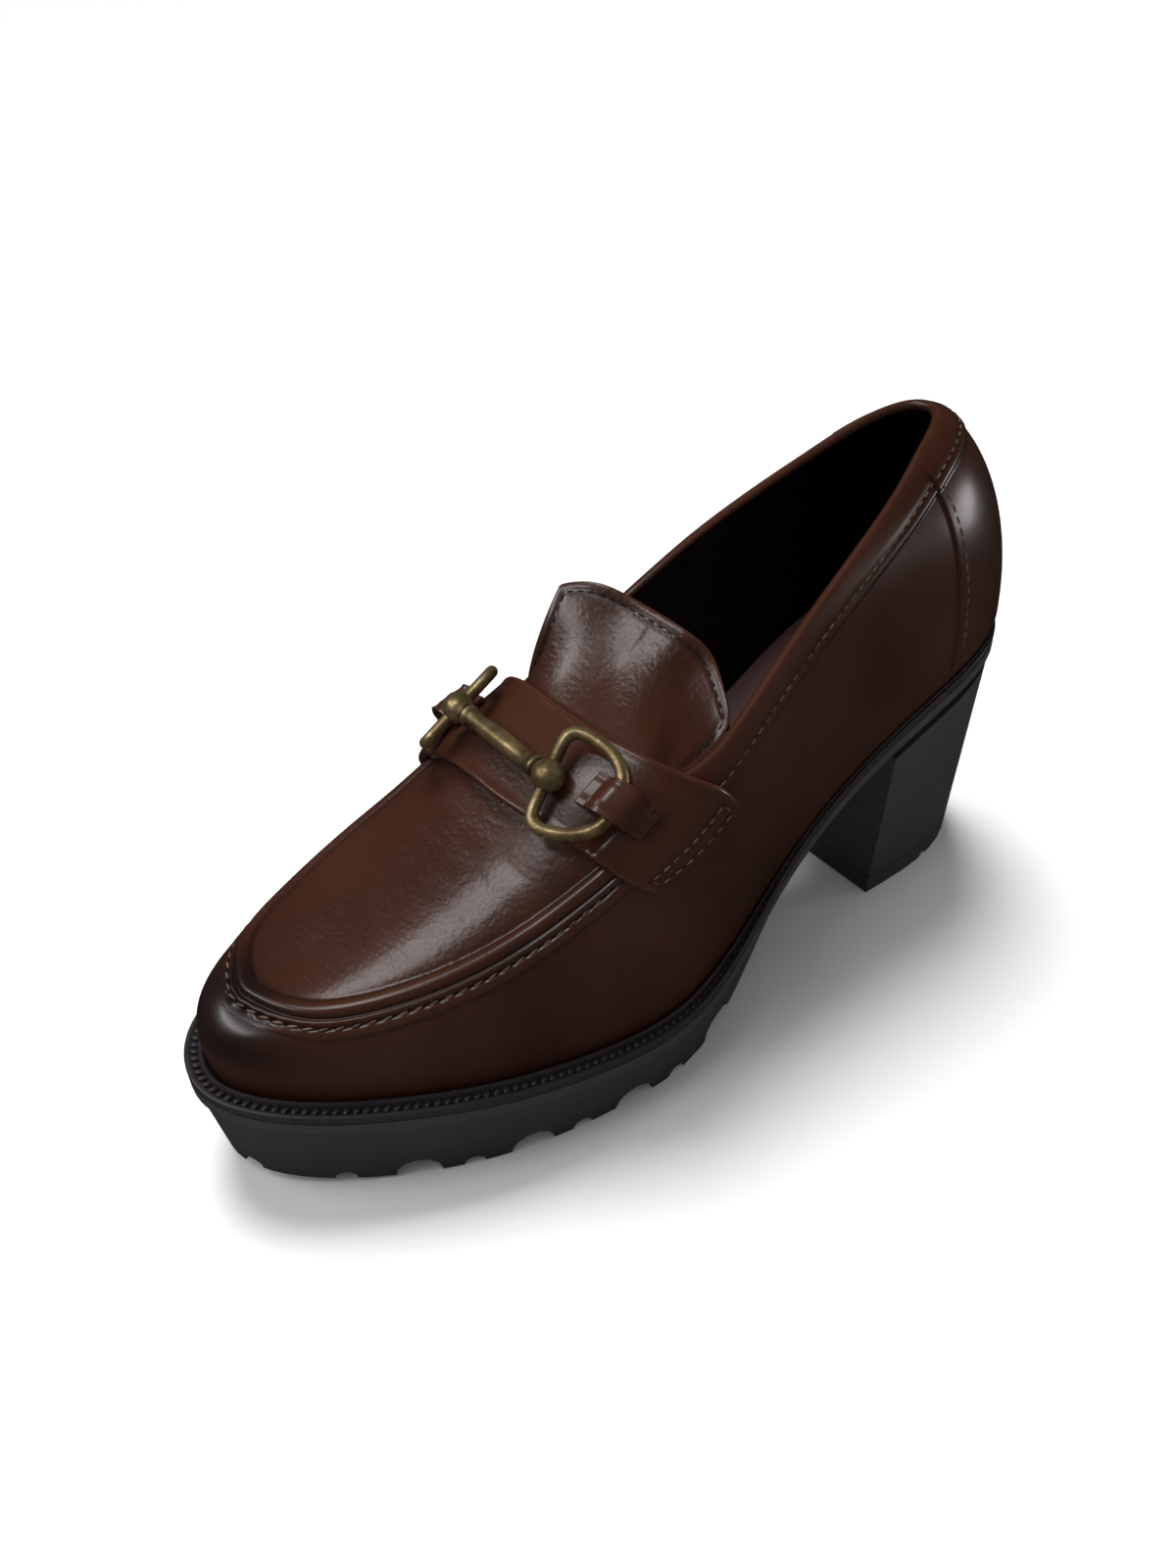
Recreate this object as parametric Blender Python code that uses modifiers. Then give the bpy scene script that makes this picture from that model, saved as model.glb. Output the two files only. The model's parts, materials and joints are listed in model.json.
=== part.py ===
# Women's loafer pump, left shoe, built as the maker would put it together.
# Metres, +Z up, +X from the heel to the toe, +Y to the shoe's left (outer) side.
# The origin lies on the floor, in the middle of the shoe's length and width.
import math

import bmesh
import bpy
import numpy as np
from mathutils import Matrix, Vector

# Driving sizes of the last and the sole
LENGTH = 0.240            # outsole, heel's back to toe's tip
HALF_BALL = 0.0435        # half of the ball width
SEAT_HEIGHT = 0.071       # top of the welt at the heel's back
PLATFORM = 0.022          # top of the welt at the ball
TOE_RISE = 0.009          # the welt's rise from ball to toe
TOE_SPRING = 0.0049       # the tread's rise at the toe
STRIP = 0.0091            # thickness of arch and seat, welt included
CROWN_RISE = 0.070        # crown of the last above the welt, at the throat
WALL = 0.0020             # leather and lining
GAP = 0.0003              # clearance between neighbours
EPS = 1e-4                # step for slopes of the outline
SLOPE_STEP = 0.004        # and of the arch
TURN_STEP = 0.01          # and along the strap
SLOPE_RUN = 0.001         # and along the crown

# Welt and side of the sole
WELT_THICKNESS = 0.0020
WELT_LEDGE = 0.0050       # width of the welt at the toe
WELT_BEAD = 0.0012        # height of the bead beside the upper
SIDE_BAND = 0.0030        # plain band of the sole under the welt
SIDE_STEP = 0.0008        # depth of the step under that band
TREAD_INSET = 0.0038      # the side's slope inwards to the tread
ARCH_BACK = 0.38          # share of the length where the arch leaves the strip
ARCH_FRONT = 0.56         # share of the length where the tread reaches the floor
SPRING_START = 0.78       # share of the length where the toe spring starts

# Heel
HEEL_FRONT = 0.0540       # block's front, from the heel's back
HEEL_BACK_LOW = 0.0044    # the block's slope forwards at its foot
HEEL_HALF_LOW = 0.0234    # half width of the block's foot
TOP_PIECE = 0.0060        # thickness of the rubber under the block
HEEL_GROOVE = 0.0015      # radius of the groove across the top piece

# Overlays on the upper
SEAM_BEAD = 0.0014        # height of the raised apron seam
SEAM_BAND = 0.0005        # height of the flat band below it
SEAM_BEAD_ANGLE = 3.4     # half width of the bead on the arch, degrees
SEAM_FADE = 0.560         # rib where the seam starts, under the strap
SEAM_FADE_RUN = 0.030
SEAM_BAND_ANGLE = 6.0     # width of the flat band, degrees
COUNTER_RIB = 0.253       # rib on which the heel counter ends
COUNTER_STEP = 0.0008
COLLAR_BAND = 0.0090      # width of the folded collar band
COLLAR_STEP = 0.0006
COLLAR_FADE = 0.075       # the band ends under the strap, in shares of ribs before the throat
COLLAR_FADE_RUN = 0.050
COLLAR_SHARE = 0.85       # a straight rib's length as a share of its arc
COLLAR_LIMIT = 0.4        # the band's largest share of what lies above the seam
WALL_SHARES = (0.05, 0.28, 0.52, 0.72)  # rows of the wall below the seam, as shares of its angle
STEP_ANGLE = 0.7          # a step's own width on the arch, degrees
LINING_SHARES = (0.0, 0.25, 0.5, 0.7, 0.85, 1.0)  # rows of the lining, as shares of the rib
THROAT_RIB = 0.564        # rib on which both sides of the upper meet

# Insole, tongue, strap
INSOLE = 0.0025
TONGUE = 0.0020
TONGUE_TUCK = 0.0020      # its root's depth under the lining
STRAP = 0.0022
STRAP_BED = 0.0005        # the strap's lift off the upper
STRAP_ARCH = 0.0009       # and what the tongue's root adds to it on the crown
STRAP_END_ANGLE = 28.0    # the strap's ends on the arch, degrees
STRAP_END_SLANT = 3.2     # how far its corners lie from that angle, degrees
STRAP_CROWN_RIB = 0.578   # middle of the strap on the crown
STRAP_LEFT_RIB = 0.5265   # middle of the strap at its left end
STRAP_RIGHT_RIB = 0.5640  # and at its right end
STRAP_CROWN_HALF = 0.0305 # half of its width on the crown, in shares of ribs
STRAP_END_HALF = 0.0360   # and at its ends

# Bit
BAR_RADIUS = 0.0021
BALL_RADIUS = 0.0038
BAR_LENGTH = 0.0345       # between the balls' middles
BAR_TURN = 2.0            # the bar's turn in plan, degrees
BAR_ASIDE = -0.0030       # the bar's middle, to the left of the crown where positive
BAR_FORWARD = 0.0020      # and down the strap towards the toe
BAR_LIFT = 0.0031         # the bar's axis above the strap's crown
RING_WIRE = 0.0015
RING_HALF = 0.0116        # half of the D ring's straight side
RING_LEFT_TURN = 0.47     # where the left bow lies along the strap
RING_RIGHT_TURN = 0.58
KEEPER_WIDTH = 0.0085
KEEPER_TAIL = 0.0080      # its stitched end, from the bow
KEEPER_SLACK = 0.0010     # its room over the wire
KEEPER = 0.0012
KEEPER_HEEL = 0.0043      # its folded end, from the bow
KEEPER_RISE = 0.0006      # length of the hump's slopes
BAR_SWELL = 1.12          # the bar's middle against its ends
BAR_SHANK = 0.45          # its straight part, as a share of its half
RING_SIDE = 0.86          # straight part of the ring's side, as a share of its half
RING_SQUARE = 0.8         # exponent of the bow, 1 for an ellipse

# Sole outline: share of length, left and right half widths as shares of the half ball width
OUTLINE = (
    (0.00, 0.000, 0.000),
    (0.05, 0.483, 0.471),
    (0.14, 0.639, 0.639),
    (0.28, 0.655, 0.593),
    (0.42, 0.763, 0.616),
    (0.56, 0.998, 0.832),
    (0.66, 1.000, 0.975),
    (0.76, 0.901, 1.000),
    (0.86, 0.678, 0.846),
    (0.94, 0.414, 0.644),
    (1.00, -0.099, 0.099),
)
# Top of the welt: share of length, share of the heel's rise, share of the toe's rise
WELT_TOP = (
    (0.00, 1.000, 0.00),
    (0.12, 0.929, 0.00),
    (0.24, 0.735, 0.00),
    (0.36, 0.433, 0.00),
    (0.48, 0.106, 0.00),
    (0.60, 0.000, 0.00),
    (0.75, 0.000, 0.29),
    (0.90, 0.000, 0.65),
    (1.00, 0.000, 1.00),
)
# Width of the ledge outside the upper: share of length, share of the welt's ledge
LEDGE = (
    (0.00, 0.20),
    (0.20, 0.24),
    (0.40, 0.36),
    (0.50, 0.70),
    (0.60, 0.92),
    (0.80, 1.00),
    (1.00, 1.00),
)
# Crown of the last: share of length, height above the welt as a share of the crown's rise,
# sideways place as a share of the half ball width
CROWN = (
    (0.150, 0.975, 0.000),
    (0.200, 0.955, 0.000),
    (0.240, 0.968, 0.000),
    (0.290, 1.005, 0.000),
    (0.350, 1.068, 0.000),
    (0.410, 1.093, 0.005),
    (0.470, 1.048, 0.010),
    (0.520, 0.985, 0.018),
    (0.600, 0.882, 0.023),
    (0.640, 0.800, 0.015),
    (0.700, 0.660, -0.005),
    (0.780, 0.508, -0.030),
    (0.840, 0.412, -0.055),
    (0.890, 0.335, -0.080),
    (0.930, 0.290, -0.095),
)
# Arch of each rib: share along the rim, exponent of the arch, bulge as a share of the wall,
# angles of the collar's left and right edge on the arch in degrees
ARCHES = (
    (0.000, 1.00, 0.25, 72.0, 72.0),
    (0.100, 1.00, 0.35, 71.5, 71.5),
    (0.200, 0.95, 0.50, 70.0, 70.0),
    (0.250, 0.90, 0.60, 67.2, 67.2),
    (0.300, 0.85, 0.75, 61.3, 61.3),
    (0.350, 0.75, 0.90, 54.5, 54.5),
    (0.400, 0.65, 1.00, 46.8, 46.8),
    (0.440, 0.58, 1.10, 43.4, 43.4),
    (0.480, 0.53, 1.20, 45.0, 44.5),
    (0.505, 0.53, 1.25, 48.5, 46.5),
    (0.530, 0.58, 1.25, 53.0, 48.5),
    (0.550, 0.63, 1.22, 61.0, 57.0),
    (0.564, 0.67, 1.20, 90.0, 90.0),
    (0.630, 0.80, 1.10, 90.0, 90.0),
    (0.750, 0.80, 0.85, 90.0, 90.0),
    (1.000, 0.78, 0.75, 90.0, 90.0),
)
# Apron seam: share along the rim, angle on the arch in degrees; the rows past 1 keep it round at the toe
APRON_SEAM = (
    (0.480, 45.0),
    (0.600, 47.5),
    (0.690, 47.8),
    (0.740, 48.6),
    (0.780, 50.5),
    (0.815, 54.5),
    (0.850, 61.3),
    (0.890, 68.6),
    (0.930, 73.4),
    (0.970, 75.6),
    (1.000, 76.1),
    (1.030, 75.6),
    (1.070, 73.4),
)
# Fans of ribs: where the crown ends, and where its ribs start to spread
CROWN_FRONT_END = 0.900
CROWN_FRONT_FAN = 0.620
CROWN_BACK_END = 0.155
CROWN_BACK_FAN = 0.360
TOE_BLEND = 0.200         # how far beyond the throat the ribs take up the crown's fall

# Edge lugs on each side: share along the rim, radius of the notch
LUG_BIG = 0.0055
LUG_SMALL = 0.0026
LUG_REACH = 0.0100
BIG_LUGS = (0.502, 0.584, 0.664, 0.752)
SMALL_LUGS = (0.546, 0.626, 0.709, 0.815, 0.935)
TREAD_GROOVE = 0.0030     # radius of the grooves that cross the tread

# Tongue: place across, then lengths from the throat point as shares of the tongue's reach:
# edge back, edge side, edge up, middle back, middle side, middle up
TONGUE_REACH = 0.040
TONGUE_ROOT = 0.012       # the root's depth under the throat, in shares of ribs
TONGUE_LEFT_SPREAD = 40.0 # the root's angle on the arch, left of the crown, degrees
TONGUE_RIGHT_SPREAD = 35.0
TONGUE_CORNER_LEFT = 0.22 # how much its left corner is rounded off, as a share of its free length
TONGUE_CORNER_RIGHT = 0.04
TONGUE_CLEAR = 6.0        # angle past the collar's edge where the tongue starts to rise, degrees
TONGUE_CLEAR_RUN = 10.0
TONGUE_FOLDS = (
    # across, edge back, edge side, edge up, mid back, mid side, mid up
    (-1.00, 0.525, -0.550, 0.580, 0.290, -0.520, 0.240),
    (-0.66, 0.638, -0.350, 0.608, 0.350, -0.390, 0.278),
    (-0.33, 0.740, -0.175, 0.553, 0.415, -0.200, 0.278),
    (0.00, 0.810, 0.000, 0.498, 0.463, 0.012, 0.258),
    (0.33, 0.868, 0.200, 0.440, 0.533, 0.225, 0.225),
    (0.66, 0.917, 0.375, 0.328, 0.625, 0.412, 0.140),
    (1.00, 0.850, 0.625, 0.182, 0.675, 0.675, 0.000),
)

# Steps of the meshes
SOLE_STATIONS = 52
HEEL_STATIONS = 11
HEEL_RINGS = 5
STRAP_STATIONS = 30
RING_STATIONS = 16
BALL_STEP = 20.0          # degrees between the ball's rings
TONGUE_ACROSS = 13
TONGUE_HIDDEN = 4
TONGUE_FREE = 6
COUNTER_RUN = 0.0015      # half of the counter step's own width, in shares of ribs
# Ribs of the upper: where a stretch starts and how many steps it has
RIB_BREAKS = (
    (0.0, 7),
    (COUNTER_RIB - COUNTER_RUN, 1),
    (COUNTER_RIB + COUNTER_RUN, 6),
    (0.475, 8),
    (THROAT_RIB, 16),
    (1.0, 0),
)

# Colours: base colour, roughness, metallic
COLOURS = {
    "leather": ((0.055, 0.018, 0.011), 0.32, 0.0),
    "rubber": ((0.018, 0.014, 0.015), 0.62, 0.0),
    "lining": ((0.030, 0.018, 0.020), 0.70, 0.0),
    "brass": ((0.300, 0.200, 0.070), 0.38, 1.0),
}


def clear_scene():
    """Remove what the file holds."""
    for obj in list(bpy.data.objects):
        bpy.data.objects.remove(obj, do_unlink=True)
    for group in list(bpy.data.collections):
        bpy.data.collections.remove(group)


clear_scene()
SHOE = bpy.data.collections.new("loafer_pump")
CUTTERS = bpy.data.collections.new("cutters")
bpy.context.scene.collection.children.link(SHOE)
bpy.context.scene.collection.children.link(CUTTERS)


# Curves through the tables

def curve(table, column, at):
    """Natural cubic through a table's column, flat beyond its ends."""
    xs = np.array([row[0] for row in table])
    ys = np.array([row[column] for row in table])
    count = len(xs)
    step = np.diff(xs)
    matrix = np.eye(count)
    right = np.zeros(count)
    for i in range(1, count - 1):
        matrix[i, i - 1:i + 2] = (step[i - 1], 2 * (step[i - 1] + step[i]), step[i])
        right[i] = 6 * ((ys[i + 1] - ys[i]) / step[i] - (ys[i] - ys[i - 1]) / step[i - 1])
    bend = np.linalg.solve(matrix, right)
    at = min(max(at, xs[0]), xs[-1])
    k = int(min(max(np.searchsorted(xs, at) - 1, 0), count - 2))
    a = (xs[k + 1] - at) / step[k]
    b = (at - xs[k]) / step[k]
    cubic = (a ** 3 - a) * bend[k] + (b ** 3 - b) * bend[k + 1]
    return float(a * ys[k] + b * ys[k + 1] + cubic * step[k] ** 2 / 6)


def smooth(share):
    """Soft step from 0 to 1."""
    share = min(max(share, 0.0), 1.0)
    return share * share * (3 - 2 * share)


def spaced(breaks):
    """Stations between break points, each break with its number of steps."""
    found = []
    for (start, steps), (end, _) in zip(breaks, breaks[1:]):
        found += [start + (end - start) * i / steps for i in range(steps)]
    return found + [breaks[-1][0]]


# The last and the sole, with x measured from the heel's back

def rim_x(t):
    """Distance from the heel's back at a share along the rim."""
    return LENGTH * (1 - math.cos(math.pi * t)) / 2


# The outline's curve runs on the rim's angle, which keeps both ends round
RIM_TABLE = tuple((math.acos(1 - 2 * x) / math.pi, left, right) for x, left, right in OUTLINE)


def rim(t, side, inset=0.0):
    """Point of the sole's outline, moved inwards by an inset."""
    column = 1 if side > 0 else 2
    before = max(t - EPS, 0.0)
    after = min(t + EPS, 1.0)
    y = curve(RIM_TABLE, column, t) * HALF_BALL * side
    dx = rim_x(after) - rim_x(before)
    dy = (curve(RIM_TABLE, column, after) - curve(RIM_TABLE, column, before)) * HALF_BALL * side
    run = math.hypot(dx, dy)
    return rim_x(t) + dy / run * side * inset, y - dx / run * side * inset


def welt_top(x):
    """Height of the welt's outer lip."""
    share = x / LENGTH
    heel = curve(WELT_TOP, 1, share) * (SEAT_HEIGHT - PLATFORM)
    return PLATFORM + heel + curve(WELT_TOP, 2, share) * TOE_RISE


def sole_top(x):
    """Height of the sole under the welt."""
    return welt_top(x) - WELT_THICKNESS - GAP


def sole_low(x):
    """Underside of the sole: strip, arch, flat tread and toe spring."""
    share = x / LENGTH
    arch = 1 - smooth((share - ARCH_BACK) / (ARCH_FRONT - ARCH_BACK))
    spring = max((share - SPRING_START) / (1 - SPRING_START), 0.0) ** 2
    return (welt_top(x) - STRIP) * arch + TOE_SPRING * min(spring, 1.0)


def ledge(t):
    """Width of the welt outside the upper."""
    return curve(LEDGE, 1, rim_x(t) / LENGTH) * WELT_LEDGE


def crown_x(x):
    """Where the rib that starts at x on the rim ends on the crown."""
    fan = CROWN_FRONT_FAN * LENGTH
    if x > fan:
        share = (x - fan) / (LENGTH - fan)
        lean = (1 - CROWN_FRONT_END) / (1 - CROWN_FRONT_FAN)
        return fan + (LENGTH - fan) * (share - lean * share ** 2)
    fan = CROWN_BACK_FAN * LENGTH
    if x < fan:
        share = (fan - x) / fan
        return fan * (1 - share + CROWN_BACK_END / CROWN_BACK_FAN * share ** 2)
    return x


def crown_top(x):
    """Height of the last's crown."""
    return welt_top(x) + curve(CROWN, 1, x / LENGTH) * CROWN_RISE


def edge_angle(t, side):
    """Angle of the upper's edge on the arch."""
    column = 3 if side > 0 else 4
    return math.radians(min(curve(ARCHES, column, t), 90.0)) if t < THROAT_RIB else math.pi / 2


def arch(t, side, angle):
    """Point of the last's surface: rib t, angle 0 at the welt and 90 degrees on the crown."""
    fx, fy = rim(t, side, ledge(t))
    low = welt_top(fx) + WELT_BEAD
    cx = crown_x(rim_x(t))
    share = cx / LENGTH
    cy = curve(CROWN, 2, share) * HALF_BALL
    top = crown_top(cx)
    power = curve(ARCHES, 1, t)
    out = max(math.cos(angle), 0.0) ** power
    dx, dy = fx - cx, fy - cy
    # The ribs that fan out at the toe leave the crown with its own fall
    fall = (crown_top(cx + SLOPE_RUN) - crown_top(cx - SLOPE_RUN)) / (2 * SLOPE_RUN)
    fall *= dx * out * (1 - out) ** 2 * smooth((t - THROAT_RIB) / TOE_BLEND)
    reach = max(math.hypot(dx, dy), EPS)
    bulge = curve(ARCHES, 2, t) * WALL * math.sin(min(angle * 2.2, math.pi))
    x = cx + dx * out + dx / reach * bulge
    y = cy + dy * out + dy / reach * bulge
    return Vector((x, y, low + (top - low) * math.sin(angle) ** power + fall))


def arch_normal(t, side, angle):
    """Outward direction of the last's surface."""
    low = min(max(angle - SLOPE_STEP, 0.0), math.pi / 2 - 2 * SLOPE_STEP)
    high = low + 2 * SLOPE_STEP
    if SLOPE_STEP < t < 1 - SLOPE_STEP:
        along = arch(t + SLOPE_STEP, side, angle) - arch(t - SLOPE_STEP, side, angle)
        across = (arch(t, side, low) - arch(t, side, high)) * side
        if angle > math.pi / 2 - SLOPE_STEP:
            across = arch(t, 1, low) - arch(t, -1, low)
    else:
        near = min(max(t, 2 * SLOPE_STEP), 1 - 2 * SLOPE_STEP)
        along = (arch(near, 1, angle) - arch(near, -1, angle)) * (1 if t < 0.5 else -1)
        across = arch(t, side, low) - arch(t, side, high)
    return along.cross(across).normalized()


def shifted(t, side, angle, offset):
    """Point at a distance outside the last's surface."""
    return arch(t, side, angle) + arch_normal(t, side, angle) * offset


# Mesh helpers

def centred(point):
    """From the heel's back to the shoe's own origin."""
    return Vector((point[0] - LENGTH / 2, point[1], point[2]))


def material(name):
    """Principled material of one finish."""
    found = bpy.data.materials.get(name)
    if found is None:
        colour, rough, metal = COLOURS[name]
        found = bpy.data.materials.new(name)
        found.use_nodes = True
        shader = found.node_tree.nodes["Principled BSDF"]
        shader.inputs["Base Color"].default_value = (*colour, 1.0)
        shader.inputs["Roughness"].default_value = rough
        shader.inputs["Metallic"].default_value = metal
    return found


def add_object(name, mesh, finish, group=None):
    """Link a mesh as a named object."""
    obj = bpy.data.objects.new(name, mesh)
    (group or SHOE).objects.link(obj)
    if finish:
        obj.data.materials.append(material(finish))
    return obj


def close_mesh(name, bm, finish):
    """Merge doubles, turn the faces outwards and link the solid."""
    bmesh.ops.remove_doubles(bm, verts=bm.verts, dist=1e-6)
    bmesh.ops.dissolve_degenerate(bm, edges=bm.edges, dist=1e-6)
    bmesh.ops.triangulate(bm, faces=bm.faces)
    bmesh.ops.recalc_face_normals(bm, faces=bm.faces)
    mesh = bpy.data.meshes.new(name)
    bm.to_mesh(mesh)
    bm.free()
    mesh.shade_smooth()
    mesh.set_sharp_from_angle(angle=math.radians(35))
    return add_object(name, mesh, finish)


def loft(name, sections, finish, ring=False):
    """Skin closed sections one after the other, with caps unless they form a ring."""
    bm = bmesh.new()
    rows = [[bm.verts.new(centred(p)) for p in section] for section in sections]
    pairs = list(zip(rows, rows[1:]))
    if ring:
        pairs.append((rows[-1], rows[0]))
    for low, high in pairs:
        for i in range(len(low)):
            j = (i + 1) % len(low)
            bm.faces.new((low[i], low[j], high[j], high[i]))
    if not ring:
        bm.faces.new(rows[0][::-1])
        bm.faces.new(rows[-1])
    return close_mesh(name, bm, finish)


def cut(obj, cutters):
    """Cut an object with others by Boolean modifiers."""
    for number, tool in enumerate(cutters):
        tool.hide_render = True
        tool.display_type = "WIRE"
        modifier = obj.modifiers.new(f"cut_{number}", "BOOLEAN")
        modifier.operation = "DIFFERENCE"
        modifier.solver = "EXACT"
        modifier.object = tool


def rod_cutter(name, start, end, radius, sides=12):
    """Round cutter between two points."""
    start, end = centred(start), centred(end)
    bm = bmesh.new()
    bmesh.ops.create_cone(
        bm, cap_ends=True, segments=sides, radius1=radius, radius2=radius, depth=(end - start).length
    )
    turn = Vector((0, 0, 1)).rotation_difference(end - start).to_matrix().to_4x4()
    bmesh.ops.transform(bm, matrix=Matrix.Translation((start + end) / 2) @ turn, verts=bm.verts)
    mesh = bpy.data.meshes.new(name)
    bm.to_mesh(mesh)
    bm.free()
    return add_object(name, mesh, None, CUTTERS)


def sheet(name, grid, thickness, finish):
    """Open grid of points made a solid sheet by Solidify, away from its outer face."""
    bm = bmesh.new()
    rows = [[bm.verts.new(centred(p)) for p in row] for row in grid]
    for low, high in zip(rows, rows[1:]):
        for i in range(len(low) - 1):
            bm.faces.new((low[i], high[i], high[i + 1], low[i + 1]))
    mesh = bpy.data.meshes.new(name)
    bm.to_mesh(mesh)
    bm.free()
    mesh.shade_smooth()
    obj = add_object(name, mesh, finish)
    solid = obj.modifiers.new("thickness", "SOLIDIFY")
    solid.thickness = thickness
    solid.offset = -1.0
    return obj


# Sole unit

def sole_section(t):
    """Section of the outsole across the shoe at one share along the rim."""
    def corner(side, inset, drop, to_low=False):
        x, y = rim(t, side, inset)
        height = sole_low(x) if to_low else sole_top(x) - drop
        return Vector((x, y, height))

    share = rim_x(t) / LENGTH
    slope = TREAD_INSET * (0.55 + 0.45 * smooth((share - ARCH_BACK) / (ARCH_FRONT - ARCH_BACK)))
    left = [corner(1, 0, 0), corner(1, 0, SIDE_BAND), corner(1, SIDE_STEP, SIDE_BAND + SIDE_STEP / 2)]
    right = [corner(-1, 0, 0), corner(-1, 0, SIDE_BAND), corner(-1, SIDE_STEP, SIDE_BAND + SIDE_STEP / 2)]
    left.append(corner(1, slope, 0, True))
    right.append(corner(-1, slope, 0, True))
    return left + right[::-1]


def build_outsole():
    """Rubber unit with platform, arch and seat, and its lugs."""
    stations = [i / SOLE_STATIONS for i in range(SOLE_STATIONS + 1)]
    outsole = loft("outsole", [sole_section(t) for t in stations], "rubber")
    cutters = []

    def notch(t, side, radius, label):
        """Scallop at the sole's lower edge."""
        x, y = rim(t, side, -LUG_REACH)
        x_in, y_in = rim(t, side, LUG_REACH)
        low = sole_low(rim_x(t))
        cutters.append(rod_cutter(label, (x, y, low), (x_in, y_in, low), radius))

    for side, tag in ((1, "left"), (-1, "right")):
        for number, t in enumerate(BIG_LUGS):
            notch(t, side, LUG_BIG, f"big_lug_{tag}_{number}")
        for number, t in enumerate(SMALL_LUGS):
            notch(t, side, LUG_SMALL, f"small_lug_{tag}_{number}")
    for number, t in enumerate(BIG_LUGS):
        left = rim(t, 1, LUG_REACH / 2)
        right = rim(t, -1, LUG_REACH / 2)
        low = sole_low(rim_x(t))
        ends = ((left[0], left[1], low), (right[0], right[1], low))
        cutters.append(rod_cutter(f"tread_groove_{number}", *ends, TREAD_GROOVE, 8))
    cut(outsole, cutters)


def build_welt():
    """Strip on the sole's edge, with an outer lip, a groove and a bead beside the upper."""
    profile = (
        # share of the ledge, height as a share of the strip
        (0.00, 0.00),
        (0.00, 0.85),
        (0.05, 1.00),
        (0.24, 1.00),
        (0.32, 0.70),
        (0.66, 0.70),
        (0.76, 1.45),
        (0.90, 1.45),
        (1.00, 1.00),
        (1.00, 0.00),
    )
    sections = []
    stations = [i / SOLE_STATIONS for i in range(SOLE_STATIONS + 1)]
    for side, run in ((1, stations), (-1, stations[-2:0:-1])):
        for t in run:
            width = ledge(t) - GAP
            section = []
            for share, height in profile:
                x, y = rim(t, side, share * width)
                section.append(Vector((x, y, sole_top(x) + GAP + height * WELT_THICKNESS)))
            sections.append(section)
    loft("welt", sections, "rubber", ring=True)


def build_insole():
    """Covered board that lies on the sole inside the upper."""
    sections = []
    for i in range(SOLE_STATIONS // 2 + 1):
        t = i * 2 / SOLE_STATIONS
        inset = ledge(t) + WALL + 2 * GAP
        section = []
        for side, lift in ((1, GAP), (1, GAP + INSOLE), (-1, GAP + INSOLE), (-1, GAP)):
            x, y = rim(t, side, inset)
            section.append(Vector((x, y, sole_top(x) + lift)))
        sections.append(section)
    loft("insole", sections, "lining")


# Heel

def heel_ring(height, front_end):
    """D-shaped ring of the heel at a share of its height, with heights still open."""
    taper = 1 - height
    back = HEEL_BACK_LOW * taper + SIDE_STEP * height
    limit = math.acos(1 - 2 * front_end / LENGTH) / math.pi
    widest = max(rim(limit * i / HEEL_STATIONS, 1, SIDE_STEP)[1] for i in range(HEEL_STATIONS + 1))
    narrow = HEEL_HALF_LOW / widest * taper + height
    ring = []
    for side, run in ((1, range(HEEL_STATIONS, -1, -1)), (-1, range(1, HEEL_STATIONS + 1))):
        for i in run:
            x, y = rim(limit * i / HEEL_STATIONS, side, SIDE_STEP)
            share = min(max(x - SIDE_STEP, 0.0) / (front_end - SIDE_STEP), 1.0)
            if i == HEEL_STATIONS:
                share = 1.0
            ring.append((back + (front_end - back) * share, y * narrow))
    return ring


def build_heel():
    """Block from the top piece up to the seat, and the top piece under it."""
    low = TOP_PIECE + GAP
    full = sole_low(0.0)
    sections = []
    for i in range(HEEL_RINGS + 1):
        share = i / HEEL_RINGS
        section = []
        for x, y in heel_ring((low + (full - low) * share) / full, HEEL_FRONT):
            top = sole_low(x) - GAP
            section.append(Vector((x, y, low + (top - low) * share)))
        sections.append(section)
    loft("heel_block", sections, "rubber")
    foot = heel_ring(0.0, HEEL_FRONT)
    head = heel_ring(TOP_PIECE / full, HEEL_FRONT)
    rings = [[Vector((x, y, z)) for x, y in ring] for ring, z in ((foot, 0.0), (head, TOP_PIECE))]
    piece = loft("heel_top_piece", rings, "rubber")
    middle = (HEEL_FRONT + HEEL_BACK_LOW) / 2
    ends = ((middle, 2 * HEEL_HALF_LOW, 0.0), (middle, -2 * HEEL_HALF_LOW, 0.0))
    cut(piece, [rod_cutter("heel_groove", *ends, HEEL_GROOVE, 8)])


# Upper

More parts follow.
